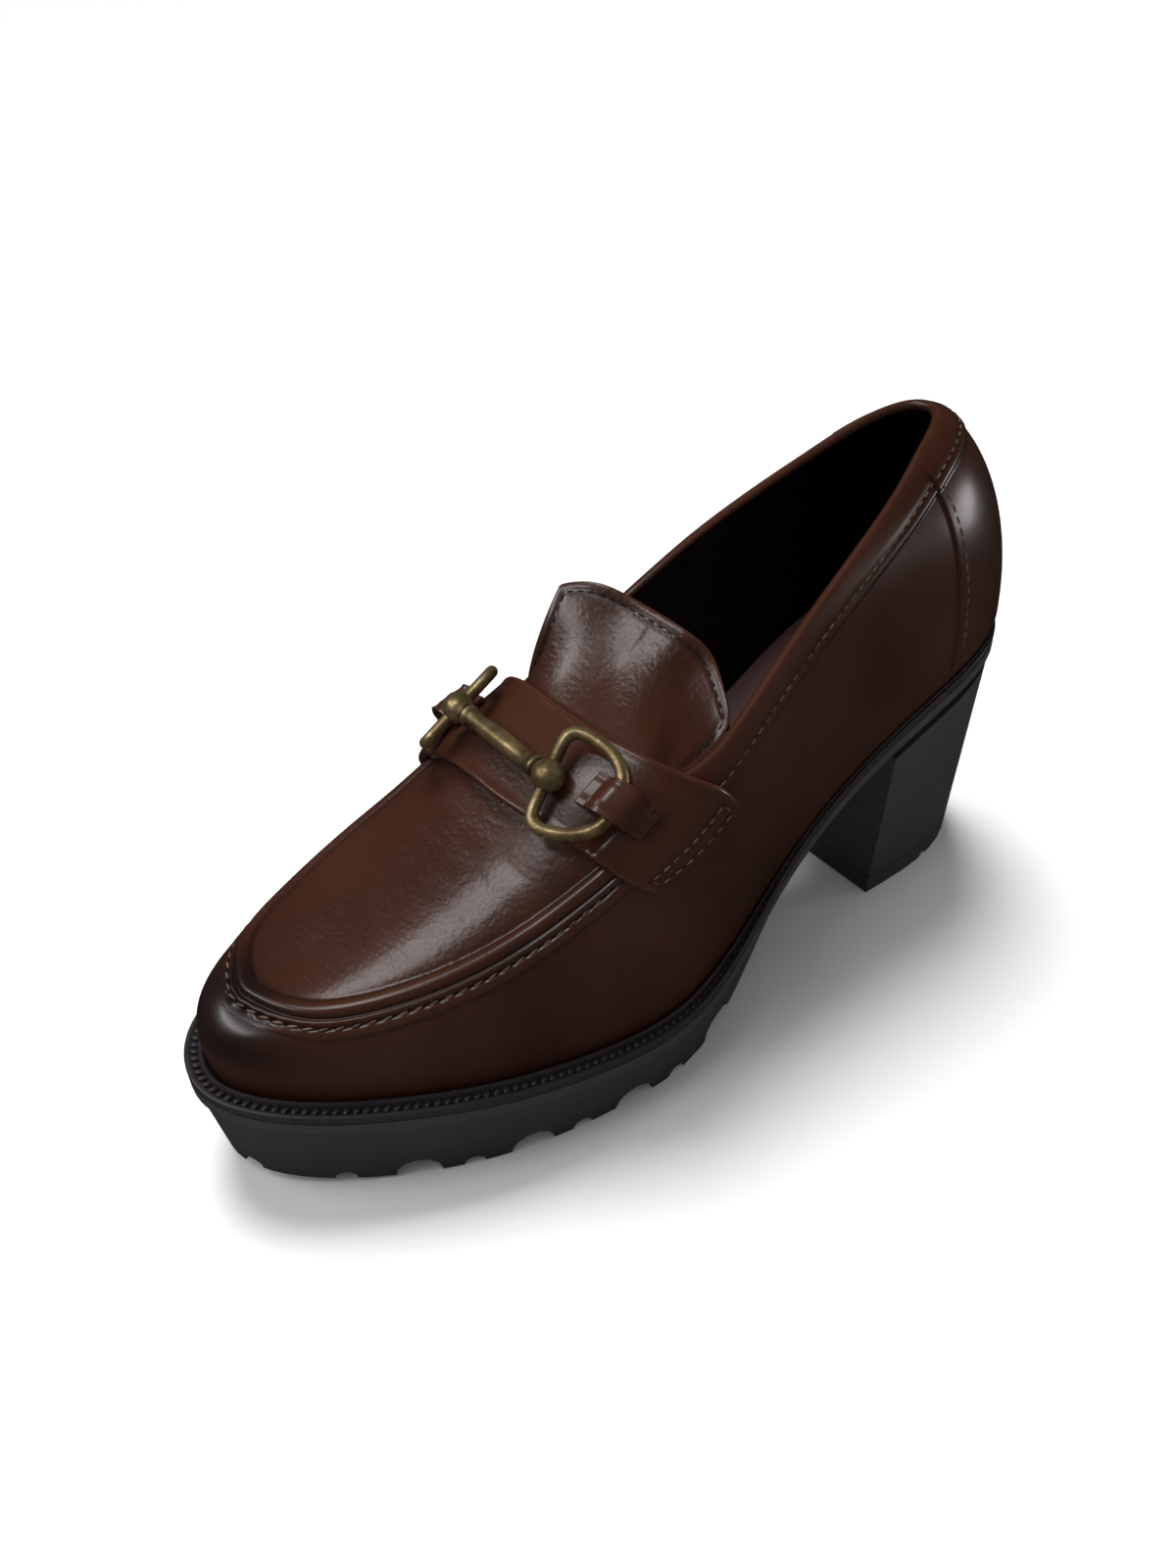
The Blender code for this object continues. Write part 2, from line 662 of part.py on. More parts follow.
def upper_rows(t, side):
    """Rows of one rib of the upper: share of the rib's angle and relief above the last."""
    end = math.degrees(edge_angle(t, side))
    seam = curve(APRON_SEAM, 1, max(t, APRON_SEAM[0][0])) / 90 * end
    bead = SEAM_BEAD_ANGLE * end / 90
    flat = SEAM_BAND_ANGLE * end / 90
    shown = smooth((t - SEAM_FADE) / SEAM_FADE_RUN)
    opened = 1 - smooth((t - THROAT_RIB + COLLAR_FADE) / COLLAR_FADE_RUN)
    counter = COUNTER_STEP if t < COUNTER_RIB else 0.0
    low = arch(t, side, 0.0)
    top = arch(t, side, edge_angle(t, side))
    above = end - seam - bead
    band = min(COLLAR_BAND / (top - low).length * end * COLLAR_SHARE, above * COLLAR_LIMIT)
    fold = COLLAR_STEP * opened + counter
    rows = [(seam * share, 0.0) for share in WALL_SHARES]
    rows.append((seam - bead - flat, 0.0))
    rows.append((seam - bead - flat + STEP_ANGLE, SEAM_BAND * shown))
    rows.append((seam - bead, SEAM_BAND * shown))
    rows.append((seam, SEAM_BEAD * shown))
    rows.append((seam + bead, 0.0))
    rows.append((seam + bead + (above - band) / 2, 0.0))
    rows = [(0.0, 0.0)] + [(angle, relief + counter) for angle, relief in rows]
    rows.append((end - band - STEP_ANGLE, counter))
    rows.append((end - band, fold))
    rows.append((end - band / 2, fold))
    rows.append((end, fold))
    return [(math.radians(angle), relief) for angle, relief in rows]


def build_upper():
    """Hollow shell: outer skin with its steps, smooth lining, rim at the collar and the foot."""
    ribs = spaced(RIB_BREAKS)
    loop = [(t, 1) for t in ribs] + [(t, -1) for t in ribs[-2:0:-1]]
    skins = []
    for t, side in loop:
        fx, fy = rim(t, side, ledge(t))
        ix, iy = rim(t, side, ledge(t) + WALL)
        outer = [Vector((fx, fy, sole_top(fx) + GAP))]
        outer += [shifted(t, side, angle, relief) for angle, relief in upper_rows(t, side)]
        end = edge_angle(t, side)
        inner = [Vector((ix, iy, sole_top(ix) + GAP))]
        inner += [shifted(t, side, end * share, -WALL) for share in LINING_SHARES]
        skins.append((outer, inner))
    bm = bmesh.new()
    outer = [[bm.verts.new(centred(p)) for p in skin[0]] for skin in skins]
    inner = [[bm.verts.new(centred(p)) for p in skin[1]] for skin in skins]
    for i, (t, side) in enumerate(loop):
        j = (i + 1) % len(loop)
        for rows, flip in ((outer, False), (inner, True)):
            for a in range(len(rows[0]) - 1):
                quad = [rows[i][a], rows[j][a], rows[j][a + 1], rows[i][a + 1]]
                bm.faces.new(quad[::-1] if flip else quad)
        bm.faces.new((outer[i][0], inner[i][0], inner[j][0], outer[j][0]))
        if min(t, loop[j][0]) < THROAT_RIB - EPS:
            bm.faces.new((outer[i][-1], outer[j][-1], inner[j][-1], inner[i][-1]))
    close_mesh("upper", bm, "leather")


# Strap and tongue

def seam_relief(t, angle):
    """Height of the apron seam above the last, fading out under the strap."""
    shown = smooth((t - SEAM_FADE) / SEAM_FADE_RUN)
    seam = math.radians(curve(APRON_SEAM, 1, max(t, APRON_SEAM[0][0])))
    near = 1 - abs(angle - seam) / math.radians(SEAM_BEAD_ANGLE + SEAM_BAND_ANGLE)
    return SEAM_BEAD * shown * smooth(near * 3)


def strap_place(turn):
    """Side, arch angle, middle rib and half width at a turn from -1 (right) to 1 (left)."""
    angle = math.radians(90 - abs(turn) * (90 - STRAP_END_ANGLE))
    end = STRAP_LEFT_RIB if turn > 0 else STRAP_RIGHT_RIB
    middle = STRAP_CROWN_RIB - (STRAP_CROWN_RIB - end) * abs(turn) ** 1.5
    half = STRAP_CROWN_HALF + (STRAP_END_HALF - STRAP_CROWN_HALF) * abs(turn) ** 1.5
    return (1 if turn >= 0 else -1), angle, middle, half


def strap_point(turn, across, lift):
    """Point over the strap's bed: across from -1 at the rear edge to 1 at the front edge."""
    side, angle, middle, half = strap_place(turn)
    angle += math.radians(STRAP_END_SLANT) * across * smooth((abs(turn) - 0.8) / 0.2)
    t = middle + half * across
    bed = STRAP_BED + STRAP_ARCH * (1 - smooth(abs(turn) * 1.3)) + seam_relief(t, angle)
    return shifted(t, side, angle, lift + bed)


def build_strap():
    """Saddle strap over the instep, with rounded long edges and slanted ends."""
    rim_shape = (
        # across, share of the thickness
        (-1.00, 0.0),
        (-1.00, 0.7),
        (-0.93, 1.0),
        (0.00, 1.0),
        (0.93, 1.0),
        (1.00, 0.7),
        (1.00, 0.0),
        (0.00, 0.0),
    )
    sections = []
    for i in range(STRAP_STATIONS + 1):
        turn = -1 + 2 * i / STRAP_STATIONS
        sections.append([strap_point(turn, across, share * STRAP) for across, share in rim_shape])
    loft("saddle_strap", sections, "leather")


def tongue_bed(across, share):
    """Outer face of the tongue's hidden root, under the upper and then under the strap."""
    side = 1 if across >= 0 else -1
    spread = TONGUE_LEFT_SPREAD if side > 0 else TONGUE_RIGHT_SPREAD
    angle = math.pi / 2 - abs(across) * math.radians(spread)
    turn = across * spread / (90 - STRAP_END_ANGLE)
    rear = strap_place(turn)[2] - strap_place(turn)[3]
    front = max(THROAT_RIB, rear) + TONGUE_ROOT
    t = front + (rear - front) * share
    free = smooth((math.degrees(angle - edge_angle(t, side)) - TONGUE_CLEAR) / TONGUE_CLEAR_RUN)
    free *= smooth((THROAT_RIB - t) / TONGUE_ROOT - 0.5)
    depth = (WALL + TONGUE_TUCK) * (1 - free) + 2 * GAP * free
    return shifted(t, side, angle, -depth)


def tongue_fold(across, first):
    """Point of one fold of the tongue, from three columns of its table."""
    throat = arch(THROAT_RIB, 1, math.pi / 2)
    back, aside, rise = (curve(TONGUE_FOLDS, first + i, across) * TONGUE_REACH for i in range(3))
    return throat + Vector((-back, aside, rise))


def build_tongue():
    """Tongue from its root under the strap to its flared edge."""
    grid = []
    for i in range(TONGUE_ACROSS + 1):
        across = -1 + 2 * i / TONGUE_ACROSS
        row = [tongue_bed(across, j / TONGUE_HIDDEN) for j in range(TONGUE_HIDDEN + 1)]
        root, mid, edge = row[-1], tongue_fold(across, 4), tongue_fold(across, 1)
        corner = TONGUE_CORNER_LEFT if across > 0 else TONGUE_CORNER_RIGHT
        length = 1 - corner * (1 - math.sqrt(1 - max(2 * abs(across) - 1, 0.0) ** 2))
        for j in range(1, TONGUE_FREE + 1):
            k = length * j / TONGUE_FREE
            row.append(root * (1 - k) * (1 - 2 * k) + mid * 4 * k * (1 - k) + edge * k * (2 * k - 1))
        grid.append(row)
    sheet("tongue", grid, TONGUE, "leather")


# Bit

def bar_frame():
    """Middle of the bar over the strap's crown, with the directions along it, down the strap and up."""
    turn = math.radians(BAR_TURN)
    along = Vector((-math.sin(turn), math.cos(turn), 0.0))
    crown = strap_point(0.0, 0.0, STRAP)
    fall = (strap_point(0.0, 1.0, STRAP) - strap_point(0.0, -1.0, STRAP)).normalized()
    fall = (fall - along * fall.dot(along)).normalized()
    up = fall.cross(along)
    return crown + up * BAR_LIFT + along * BAR_ASIDE + fall * BAR_FORWARD, along, fall


def bow_turn(side):
    """Place of a ring's bow along the strap."""
    return RING_LEFT_TURN if side > 0 else RING_RIGHT_TURN


def ring_frame(side):
    """Middle of a ring's straight side, direction and length to its bow, direction of its side."""
    place, along, fall = bar_frame()
    start = place + along * side * BAR_LENGTH / 2
    out = strap_point(bow_turn(side) * side, 0.0, STRAP + 2 * GAP + RING_WIRE) - start
    reach = out.length
    out.normalize()
    down = (fall - out * fall.dot(out)).normalized()
    return start, out, reach, down


def turned(name, profile, place, axis, finish, sides=14):
    """Solid of revolution about an axis: rows of distance along it and radius."""
    turn = Vector((0, 0, 1)).rotation_difference(axis).to_matrix()
    sections = []
    for along, radius in profile:
        row = []
        for i in range(sides):
            angle = 2 * math.pi * i / sides
            row.append(place + turn @ Vector((math.cos(angle) * radius, math.sin(angle) * radius, along)))
        sections.append(row)
    return loft(name, sections, finish)


def build_bar():
    """Bar across the strap, with a ball at each end."""
    place, along, fall = bar_frame()
    half = BAR_LENGTH / 2
    turns = [math.radians(BALL_STEP * i) for i in range(8, 1, -1)]
    ball = [(math.cos(a) * BALL_RADIUS, math.sin(a) * BALL_RADIUS) for a in turns]
    profile = [(x - half, r) for x, r in ball]
    shank = half * BAR_SHANK
    profile += [(-shank, BAR_RADIUS), (0.0, BAR_RADIUS * BAR_SWELL), (shank, BAR_RADIUS)]
    profile += [(half - x, r) for x, r in ball[::-1]]
    bar = turned("bit_bar", profile, place, along, "brass")
    bores = []
    for number, side in enumerate((1, -1)):
        middle, _, _, down = ring_frame(side)
        reach = down * 2 * BALL_RADIUS
        bores.append(rod_cutter(f"ball_bore_{number}", middle - reach, middle + reach, RING_WIRE + GAP))
    cut(bar, bores)


def wire_ring(name, points, radius, finish):
    """Closed wire through points: a curve with a round bevel, made a mesh."""
    data = bpy.data.curves.new(name, "CURVE")
    data.dimensions = "3D"
    data.bevel_depth = radius
    data.bevel_resolution = 2
    spline = data.splines.new("POLY")
    spline.points.add(len(points) - 1)
    for spot, point in zip(spline.points, points):
        spot.co = (*centred(point), 1.0)
    spline.use_cyclic_u = True
    guide = bpy.data.objects.new(name, data)
    SHOE.objects.link(guide)
    bpy.context.view_layer.update()
    mesh = bpy.data.meshes.new_from_object(guide.evaluated_get(bpy.context.evaluated_depsgraph_get()))
    bpy.data.objects.remove(guide, do_unlink=True)
    mesh.materials.clear()
    mesh.shade_smooth()
    return add_object(name, mesh, finish)


def build_ring(side, tag):
    """Plain closed D ring: its straight side runs through the ball, its bow lies on the strap."""
    start, out, reach, down = ring_frame(side)
    points = []
    for i in range(-3, 4):
        points.append(start + down * RING_HALF * RING_SIDE * i / 3)
    for i in range(1, RING_STATIONS):
        angle = math.pi * (0.5 - i / RING_STATIONS)
        wide = math.copysign(abs(math.sin(angle)) ** RING_SQUARE, angle)
        far = reach * math.cos(angle) ** RING_SQUARE
        points.append(start + down * RING_HALF * wide + out * far)
    wire_ring(f"bit_ring_{tag}", points, RING_WIRE, "brass")


def build_keeper(side, tag):
    """Leather tab along the strap that humps over the ring's bow."""
    over = 2 * RING_WIRE + KEEPER_SLACK
    back, front = -2.0 * RING_WIRE, 1.5 * RING_WIRE
    heel, toe = back - KEEPER_RISE, front + KEEPER_RISE
    under_shape = (
        # along the strap from the bow, height
        (-KEEPER_HEEL - KEEPER / 2, 0.0),
        (heel, 0.0),
        (back, over),
        (front, over),
        (toe, 0.0),
        (KEEPER_TAIL, 0.0),
    )
    outer_shape = (
        (KEEPER_TAIL, 0.0),
        (toe + KEEPER, 0.0),
        (front + KEEPER, over),
        (back - KEEPER, over),
        (heel - KEEPER, 0.0),
        (-KEEPER_HEEL - 2 * KEEPER, 0.0),
    )
    bow = bow_turn(side)
    run = strap_point((bow + TURN_STEP) * side, 0, 0) - strap_point((bow - TURN_STEP) * side, 0, 0)
    wide = strap_point(bow * side, 1, 0) - strap_point(bow * side, -1, 0)
    wire = ring_frame(side)[3]
    skew = wire.dot(run.normalized()) / wire.dot(wide.normalized())
    sections = []
    for i in range(-1, 2):
        across = KEEPER_WIDTH / wide.length * i
        slide = KEEPER_WIDTH / 2 * i * skew
        section = []
        for shape, lift in ((under_shape, 2 * GAP), (outer_shape, 2 * GAP + KEEPER)):
            for along, height in shape:
                turn = (bow + (along + slide) / run.length * 2 * TURN_STEP) * side
                section.append(strap_point(turn, across, STRAP + lift + height))
        sections.append(section)
    loft(f"keeper_{tag}", sections, "leather")


build_outsole()
build_welt()
build_insole()
build_heel()
build_upper()
build_strap()
build_tongue()
build_bar()
for side_sign, side_tag in ((1, "left"), (-1, "right")):
    build_ring(side_sign, side_tag)
    build_keeper(side_sign, side_tag)
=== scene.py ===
"""Women's loafer pump, left shoe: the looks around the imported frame.

Metres, +X from the heel to the toe, +Y to the shoe's outer side, +Z up, floor at z = 0.
"""

from __future__ import annotations

import json
import logging
import math
from dataclasses import dataclass, field
from enum import Enum
from typing import Iterator, Sequence

import bpy
import numpy as np
from mathutils import Matrix, Vector

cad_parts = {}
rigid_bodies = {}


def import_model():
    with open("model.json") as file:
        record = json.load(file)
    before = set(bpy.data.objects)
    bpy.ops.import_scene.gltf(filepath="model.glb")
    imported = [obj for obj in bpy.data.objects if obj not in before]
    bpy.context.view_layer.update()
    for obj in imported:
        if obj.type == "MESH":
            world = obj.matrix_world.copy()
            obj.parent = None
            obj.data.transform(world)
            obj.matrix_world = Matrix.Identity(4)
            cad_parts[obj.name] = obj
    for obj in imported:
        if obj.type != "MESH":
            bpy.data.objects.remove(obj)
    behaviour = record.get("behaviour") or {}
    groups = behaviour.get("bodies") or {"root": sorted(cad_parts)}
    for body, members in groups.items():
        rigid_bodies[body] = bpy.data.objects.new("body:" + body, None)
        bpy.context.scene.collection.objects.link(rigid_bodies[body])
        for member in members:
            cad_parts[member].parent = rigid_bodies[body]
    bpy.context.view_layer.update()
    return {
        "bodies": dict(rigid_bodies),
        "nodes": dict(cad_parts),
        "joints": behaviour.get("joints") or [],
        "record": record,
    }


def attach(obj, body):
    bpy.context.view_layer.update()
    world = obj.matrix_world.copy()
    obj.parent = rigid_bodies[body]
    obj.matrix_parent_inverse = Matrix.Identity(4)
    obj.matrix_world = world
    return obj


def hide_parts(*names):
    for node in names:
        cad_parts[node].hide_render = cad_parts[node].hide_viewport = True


LOG = logging.getLogger("loafer_pump")
Array = np.ndarray
Colour = tuple[float, float, float]
Row = tuple[Array, Array, Array, Array]
Object, Material = bpy.types.Object, bpy.types.Material
Node, Socket, Tree = bpy.types.Node, bpy.types.NodeSocket, bpy.types.NodeTree
QUARTER = math.pi / 2
EPS = 1e-4
MM = 0.001
WELD = 4e-6


class Slot(Enum):
    """Material slots of the record."""

    LEATHER = "brown_leather"
    RUBBER = "sole_rubber"
    LINING = "lining"
    BRASS = "aged_brass"


# Curves


class Curve:
    """Natural cubic through a short table, flat beyond its ends."""

    def __init__(self, table: Sequence[Sequence[float]], column: int = 1) -> None:
        """Solve the curve's bends.

        Args:
            table: rows whose first value is the place along the curve.
            column: column of the values.
        """
        self.xs = np.array([row[0] for row in table], float)
        self.ys = np.array([row[column] for row in table], float)
        self.step = np.diff(self.xs)
        count = len(self.xs)
        matrix, right = np.eye(count), np.zeros(count)
        for i in range(1, count - 1):
            h, k = self.step[i - 1], self.step[i]
            matrix[i, i - 1 : i + 2] = (h, 2 * (h + k), k)
            right[i] = 6 * ((self.ys[i + 1] - self.ys[i]) / k - (self.ys[i] - self.ys[i - 1]) / h)
        self.bend = np.linalg.solve(matrix, right)

    def __call__(self, at: Array | float) -> Array:
        """Value at each place.

        Args:
            at: places along the curve.

        Returns:
            The curve's values there.
        """
        at = np.clip(at, self.xs[0], self.xs[-1])
        k = np.clip(np.searchsorted(self.xs, at) - 1, 0, len(self.xs) - 2)
        step = self.step[k]
        a = (self.xs[k + 1] - at) / step
        b = 1 - a
        cubic = (a**3 - a) * self.bend[k] + (b**3 - b) * self.bend[k + 1]
        return a * self.ys[k] + b * self.ys[k + 1] + cubic * step**2 / 6


def smooth(share: Array | float) -> Array:
    """Soft step from 0 to 1."""
    share = np.clip(share, 0.0, 1.0)
    return share * share * (3 - 2 * share)


def unit(vectors: Array) -> Array:
    """Vectors of length 1 along the last axis."""
    return vectors / np.maximum(np.linalg.norm(vectors, axis=-1, keepdims=True), 1e-12)


def spaced(breaks: Sequence[tuple[float, int]]) -> Array:
    """Stations between break points, each break with its number of steps."""
    found = [np.linspace(a, b, n, endpoint=False) for (a, n), (b, _) in zip(breaks, breaks[1:])]
    return np.concatenate(found + [np.array([breaks[-1][0]])])


# The last


@dataclass
class Last:
    """Surface of the last and the lines of the sole, with the sizes of the CAD model."""

    length: float = 0.240
    half_ball: float = 0.0435
    seat_height: float = 0.071
    platform: float = 0.022
    toe_rise: float = 0.009
    crown_rise: float = 0.070
    wall: float = 0.0020
    gap: float = 0.0003
    welt: float = 0.0020
    welt_ledge: float = 0.0050
    welt_bead: float = 0.0012
    throat: float = 0.564
    slope: float = 0.004
    slope_run: float = 0.001
    toe_blend: float = 0.200

    OUTLINE = (
        (0.00, 0.000, 0.000), (0.05, 0.483, 0.471), (0.14, 0.639, 0.639), (0.28, 0.655, 0.593),
        (0.42, 0.763, 0.616), (0.56, 0.998, 0.832), (0.66, 1.000, 0.975), (0.76, 0.901, 1.000),
        (0.86, 0.678, 0.846), (0.94, 0.414, 0.644), (1.00, -0.099, 0.099),
    )
    WELT_TOP = (
        (0.00, 1.000, 0.00), (0.12, 0.929, 0.00), (0.24, 0.735, 0.00), (0.36, 0.433, 0.00),
        (0.48, 0.106, 0.00), (0.60, 0.000, 0.00), (0.75, 0.000, 0.29), (0.90, 0.000, 0.65),
        (1.00, 0.000, 1.00),
    )
    LEDGE = (
        (0.00, 0.20), (0.20, 0.24), (0.40, 0.36), (0.50, 0.70), (0.60, 0.92), (0.80, 1.00), (1.00, 1.00),
    )
    CROWN = (
        (0.150, 0.975, 0.000), (0.200, 0.955, 0.000), (0.240, 0.968, 0.000), (0.290, 1.005, 0.000),
        (0.350, 1.068, 0.000), (0.410, 1.093, 0.005), (0.470, 1.048, 0.010), (0.520, 0.985, 0.018),
        (0.600, 0.882, 0.023), (0.640, 0.800, 0.015), (0.700, 0.660, -0.005), (0.780, 0.508, -0.030),
        (0.840, 0.412, -0.055), (0.890, 0.335, -0.080), (0.930, 0.290, -0.095),
    )
    ARCHES = (
        (0.000, 1.00, 0.25, 72.0, 72.0), (0.100, 1.00, 0.35, 71.5, 71.5), (0.200, 0.95, 0.50, 70.0, 70.0),
        (0.250, 0.90, 0.60, 67.2, 67.2), (0.300, 0.85, 0.75, 61.3, 61.3), (0.350, 0.75, 0.90, 54.5, 54.5),
        (0.400, 0.65, 1.00, 46.8, 46.8), (0.440, 0.58, 1.10, 43.4, 43.4), (0.480, 0.53, 1.20, 45.0, 44.5),
        (0.505, 0.53, 1.25, 48.5, 46.5), (0.530, 0.58, 1.25, 53.0, 48.5), (0.550, 0.63, 1.22, 61.0, 57.0),
        (0.564, 0.67, 1.20, 90.0, 90.0), (0.630, 0.80, 1.10, 90.0, 90.0), (0.750, 0.80, 0.85, 90.0, 90.0),
        (1.000, 0.78, 0.75, 90.0, 90.0),
    )
    APRON_SEAM = (
        (0.480, 45.0), (0.600, 47.5), (0.690, 47.8), (0.740, 48.6), (0.780, 50.5), (0.815, 54.5),
        (0.850, 61.3), (0.890, 68.6), (0.930, 73.4), (0.970, 75.6), (1.000, 76.1), (1.030, 75.6),
        (1.070, 73.4),
    )
    CROWN_FAN = (0.155, 0.360, 0.620, 0.900)

    def __post_init__(self) -> None:
        """Make the curves of the tables."""
        turned = [(math.acos(1 - 2 * x) / math.pi, left, right) for x, left, right in self.OUTLINE]
        self.rim_left, self.rim_right = Curve(turned, 1), Curve(turned, 2)
        self.heel_line, self.toe_line = Curve(self.WELT_TOP, 1), Curve(self.WELT_TOP, 2)
        self.ledge_line = Curve(self.LEDGE)
        self.crown_height, self.crown_aside = Curve(self.CROWN, 1), Curve(self.CROWN, 2)
        self.power, self.bulge = Curve(self.ARCHES, 1), Curve(self.ARCHES, 2)
        self.edge_left, self.edge_right = Curve(self.ARCHES, 3), Curve(self.ARCHES, 4)
        self.seam_line = Curve(self.APRON_SEAM)

    def rim_x(self, t: Array) -> Array:
        """Distance from the heel's back at a share along the rim."""
        return self.length * (1 - np.cos(math.pi * np.asarray(t, float))) / 2

    def rim_t(self, x: Array) -> Array:
        """Share along the rim at a distance from the heel's back."""
        return np.arccos(np.clip(1 - 2 * np.asarray(x, float) / self.length, -1, 1)) / math.pi

    def rim_y(self, t: Array, side: Array) -> Array:
        """Half width of the outline, positive to the left."""
        half = np.where(np.asarray(side) > 0, self.rim_left(t), self.rim_right(t))
        return half * self.half_ball * side

    def round_shoe(self, ribs: Array) -> tuple[Array, Array]:
        """Ribs and sides once round the shoe: left from heel to toe, then right and back."""
        ones = np.ones(len(ribs))
        return np.concatenate((ribs, ribs[::-1])), np.concatenate((ones, -ones))

    def rim(self, t: Array, side: Array, inset: Array | float = 0.0) -> tuple[Array, Array]:
        """Point of the sole's outline, moved inwards.

        Args:
            t: share along the rim, 0 at the heel and 1 at the toe.
            side: 1 on the left and -1 on the right.
            inset: distance inwards.

        Returns:
            x from the heel's back, and y.
        """
        t = np.asarray(t, float)
        before, after = np.maximum(t - EPS, 0.0), np.minimum(t + EPS, 1.0)
        dx = self.rim_x(after) - self.rim_x(before)
        dy = self.rim_y(after, side) - self.rim_y(before, side)
        run = np.hypot(dx, dy)
        x = self.rim_x(t) + dy / run * side * inset
        return x, self.rim_y(t, side) - dx / run * side * inset

    def welt_top(self, x: Array) -> Array:
        """Height of the welt's lip."""
        share = x / self.length
        heel = self.heel_line(share) * (self.seat_height - self.platform)
        return self.platform + heel + self.toe_line(share) * self.toe_rise

    def sole_top(self, x: Array) -> Array:
        """Height of the sole under the welt."""
        return self.welt_top(x) - self.welt - self.gap

    def ledge(self, t: Array) -> Array:
        """Width of the welt outside the upper."""
        return self.ledge_line(self.rim_x(t) / self.length) * self.welt_ledge

    def crown_x(self, x: Array) -> Array:
        """Where the rib that starts at x on the rim ends on the crown."""
        back_end, back_fan, front_fan, front_end = self.CROWN_FAN
        fan = front_fan * self.length
        share = (x - fan) / (self.length - fan)
        lean = (1 - front_end) / (1 - front_fan)
        front = fan + (self.length - fan) * (share - lean * share**2)
        low = back_fan * self.length
        share = (low - x) / low
        back = low * (1 - share + back_end / back_fan * share**2)
        return np.where(x > fan, front, np.where(x < low, back, x))

    def crown_top(self, x: Array) -> Array:
        """Height of the last's crown."""
        return self.welt_top(x) + self.crown_height(x / self.length) * self.crown_rise

    def edge_angle(self, t: Array, side: Array) -> Array:
        """Angle of the upper's edge on the arch."""
        found = np.where(np.asarray(side) > 0, self.edge_left(t), self.edge_right(t))
        return np.where(t < self.throat, np.radians(np.minimum(found, 90.0)), QUARTER)

    def seam_angle(self, t: Array, side: Array) -> Array:
        """Angle of the apron seam on the arch."""
        return np.radians(self.seam_line(t)) * self.edge_angle(t, side) / QUARTER

    def arch(self, t: Array, side: Array, angle: Array) -> Array:
        """Point of the last's surface from the heel's back.

        Args:
            t: rib, 0 at the heel and 1 at the toe.
            side: 1 on the left and -1 on the right.
            angle: 0 at the welt and a quarter turn on the crown.

        Returns:
            Points, with x, y and z along the last axis.
        """
        t, side, angle = np.broadcast_arrays(*(np.asarray(v, float) for v in (t, side, angle)))
        fx, fy = self.rim(t, side, self.ledge(t))
        low = self.welt_top(fx) + self.welt_bead
        cx = self.crown_x(self.rim_x(t))
        share = cx / self.length
        cy = self.crown_aside(share) * self.half_ball
        top = self.crown_top(cx)
        power = self.power(t)
        out = np.maximum(np.cos(angle), 0.0) ** power
        dx, dy = fx - cx, fy - cy
        run = self.slope_run
        fall = (self.crown_top(cx + run) - self.crown_top(cx - run)) / (2 * run)
        fall = fall * dx * out * (1 - out) ** 2 * smooth((t - self.throat) / self.toe_blend)
        reach = np.maximum(np.hypot(dx, dy), EPS)
        bulge = self.bulge(t) * self.wall * np.sin(np.minimum(angle * 2.2, math.pi))
        height = low + (top - low) * np.maximum(np.sin(angle), 0.0) ** power + fall
        return np.stack((cx + dx * (out + bulge / reach), cy + dy * (out + bulge / reach), height), -1)

    def normal(self, t: Array, side: Array, angle: Array) -> Array:
        """Outward direction of the last's surface."""
        t, side, angle = np.broadcast_arrays(*(np.asarray(v, float) for v in (t, side, angle)))
        s = self.slope
        low = np.clip(angle - s, 0.0, QUARTER - 2 * s)
        high = low + 2 * s
        inner = ((t > s) & (t < 1 - s))[..., None]
        near = np.clip(t, 2 * s, 1 - 2 * s)
        across = self.arch(t, side, low) - self.arch(t, side, high)
        crown = self.arch(t, 1.0, low) - self.arch(t, -1.0, low)
        side_across = np.where((angle > QUARTER - s)[..., None], crown, across * side[..., None])
        before, after = np.clip(t - s, 0, 1), np.clip(t + s, 0, 1)
        along = self.arch(after, side, angle) - self.arch(before, side, angle)
        end = self.arch(near, 1.0, angle) - self.arch(near, -1.0, angle)
        end = end * np.where(t < 0.5, 1.0, -1.0)[..., None]
        return unit(np.cross(np.where(inner, along, end), np.where(inner, side_across, across)))

    def place(self, t: Array, side: Array, angle: Array, lift: Array | float = 0.0) -> Array:
        """Point at a distance outside the last's surface, in the shoe's own frame."""
        lift = np.asarray(lift, float)[..., None]
        return self.centred(self.arch(t, side, angle) + self.normal(t, side, angle) * lift)

    def centred(self, points: Array) -> Array:
        """From the heel's back to the shoe's own origin."""
        return points - np.array((self.length / 2, 0.0, 0.0))

    def stretch(self, t: Array, side: Array, angle: Array) -> Array:
        """Metres along the rib for each radian of its angle."""
        step = 0.01
        low = np.clip(angle - step, 0, QUARTER - 2 * step)
        run = self.arch(t, side, low + 2 * step) - self.arch(t, side, low)
        return np.linalg.norm(run, axis=-1) / (2 * step)


LAST = Last()


# Mesh tools


def alone(obj: Object) -> None:
    """Select one object only and make it active."""
    bpy.ops.object.select_all(action="DESELECT")
    obj.select_set(True)
    bpy.context.view_layer.objects.active = obj


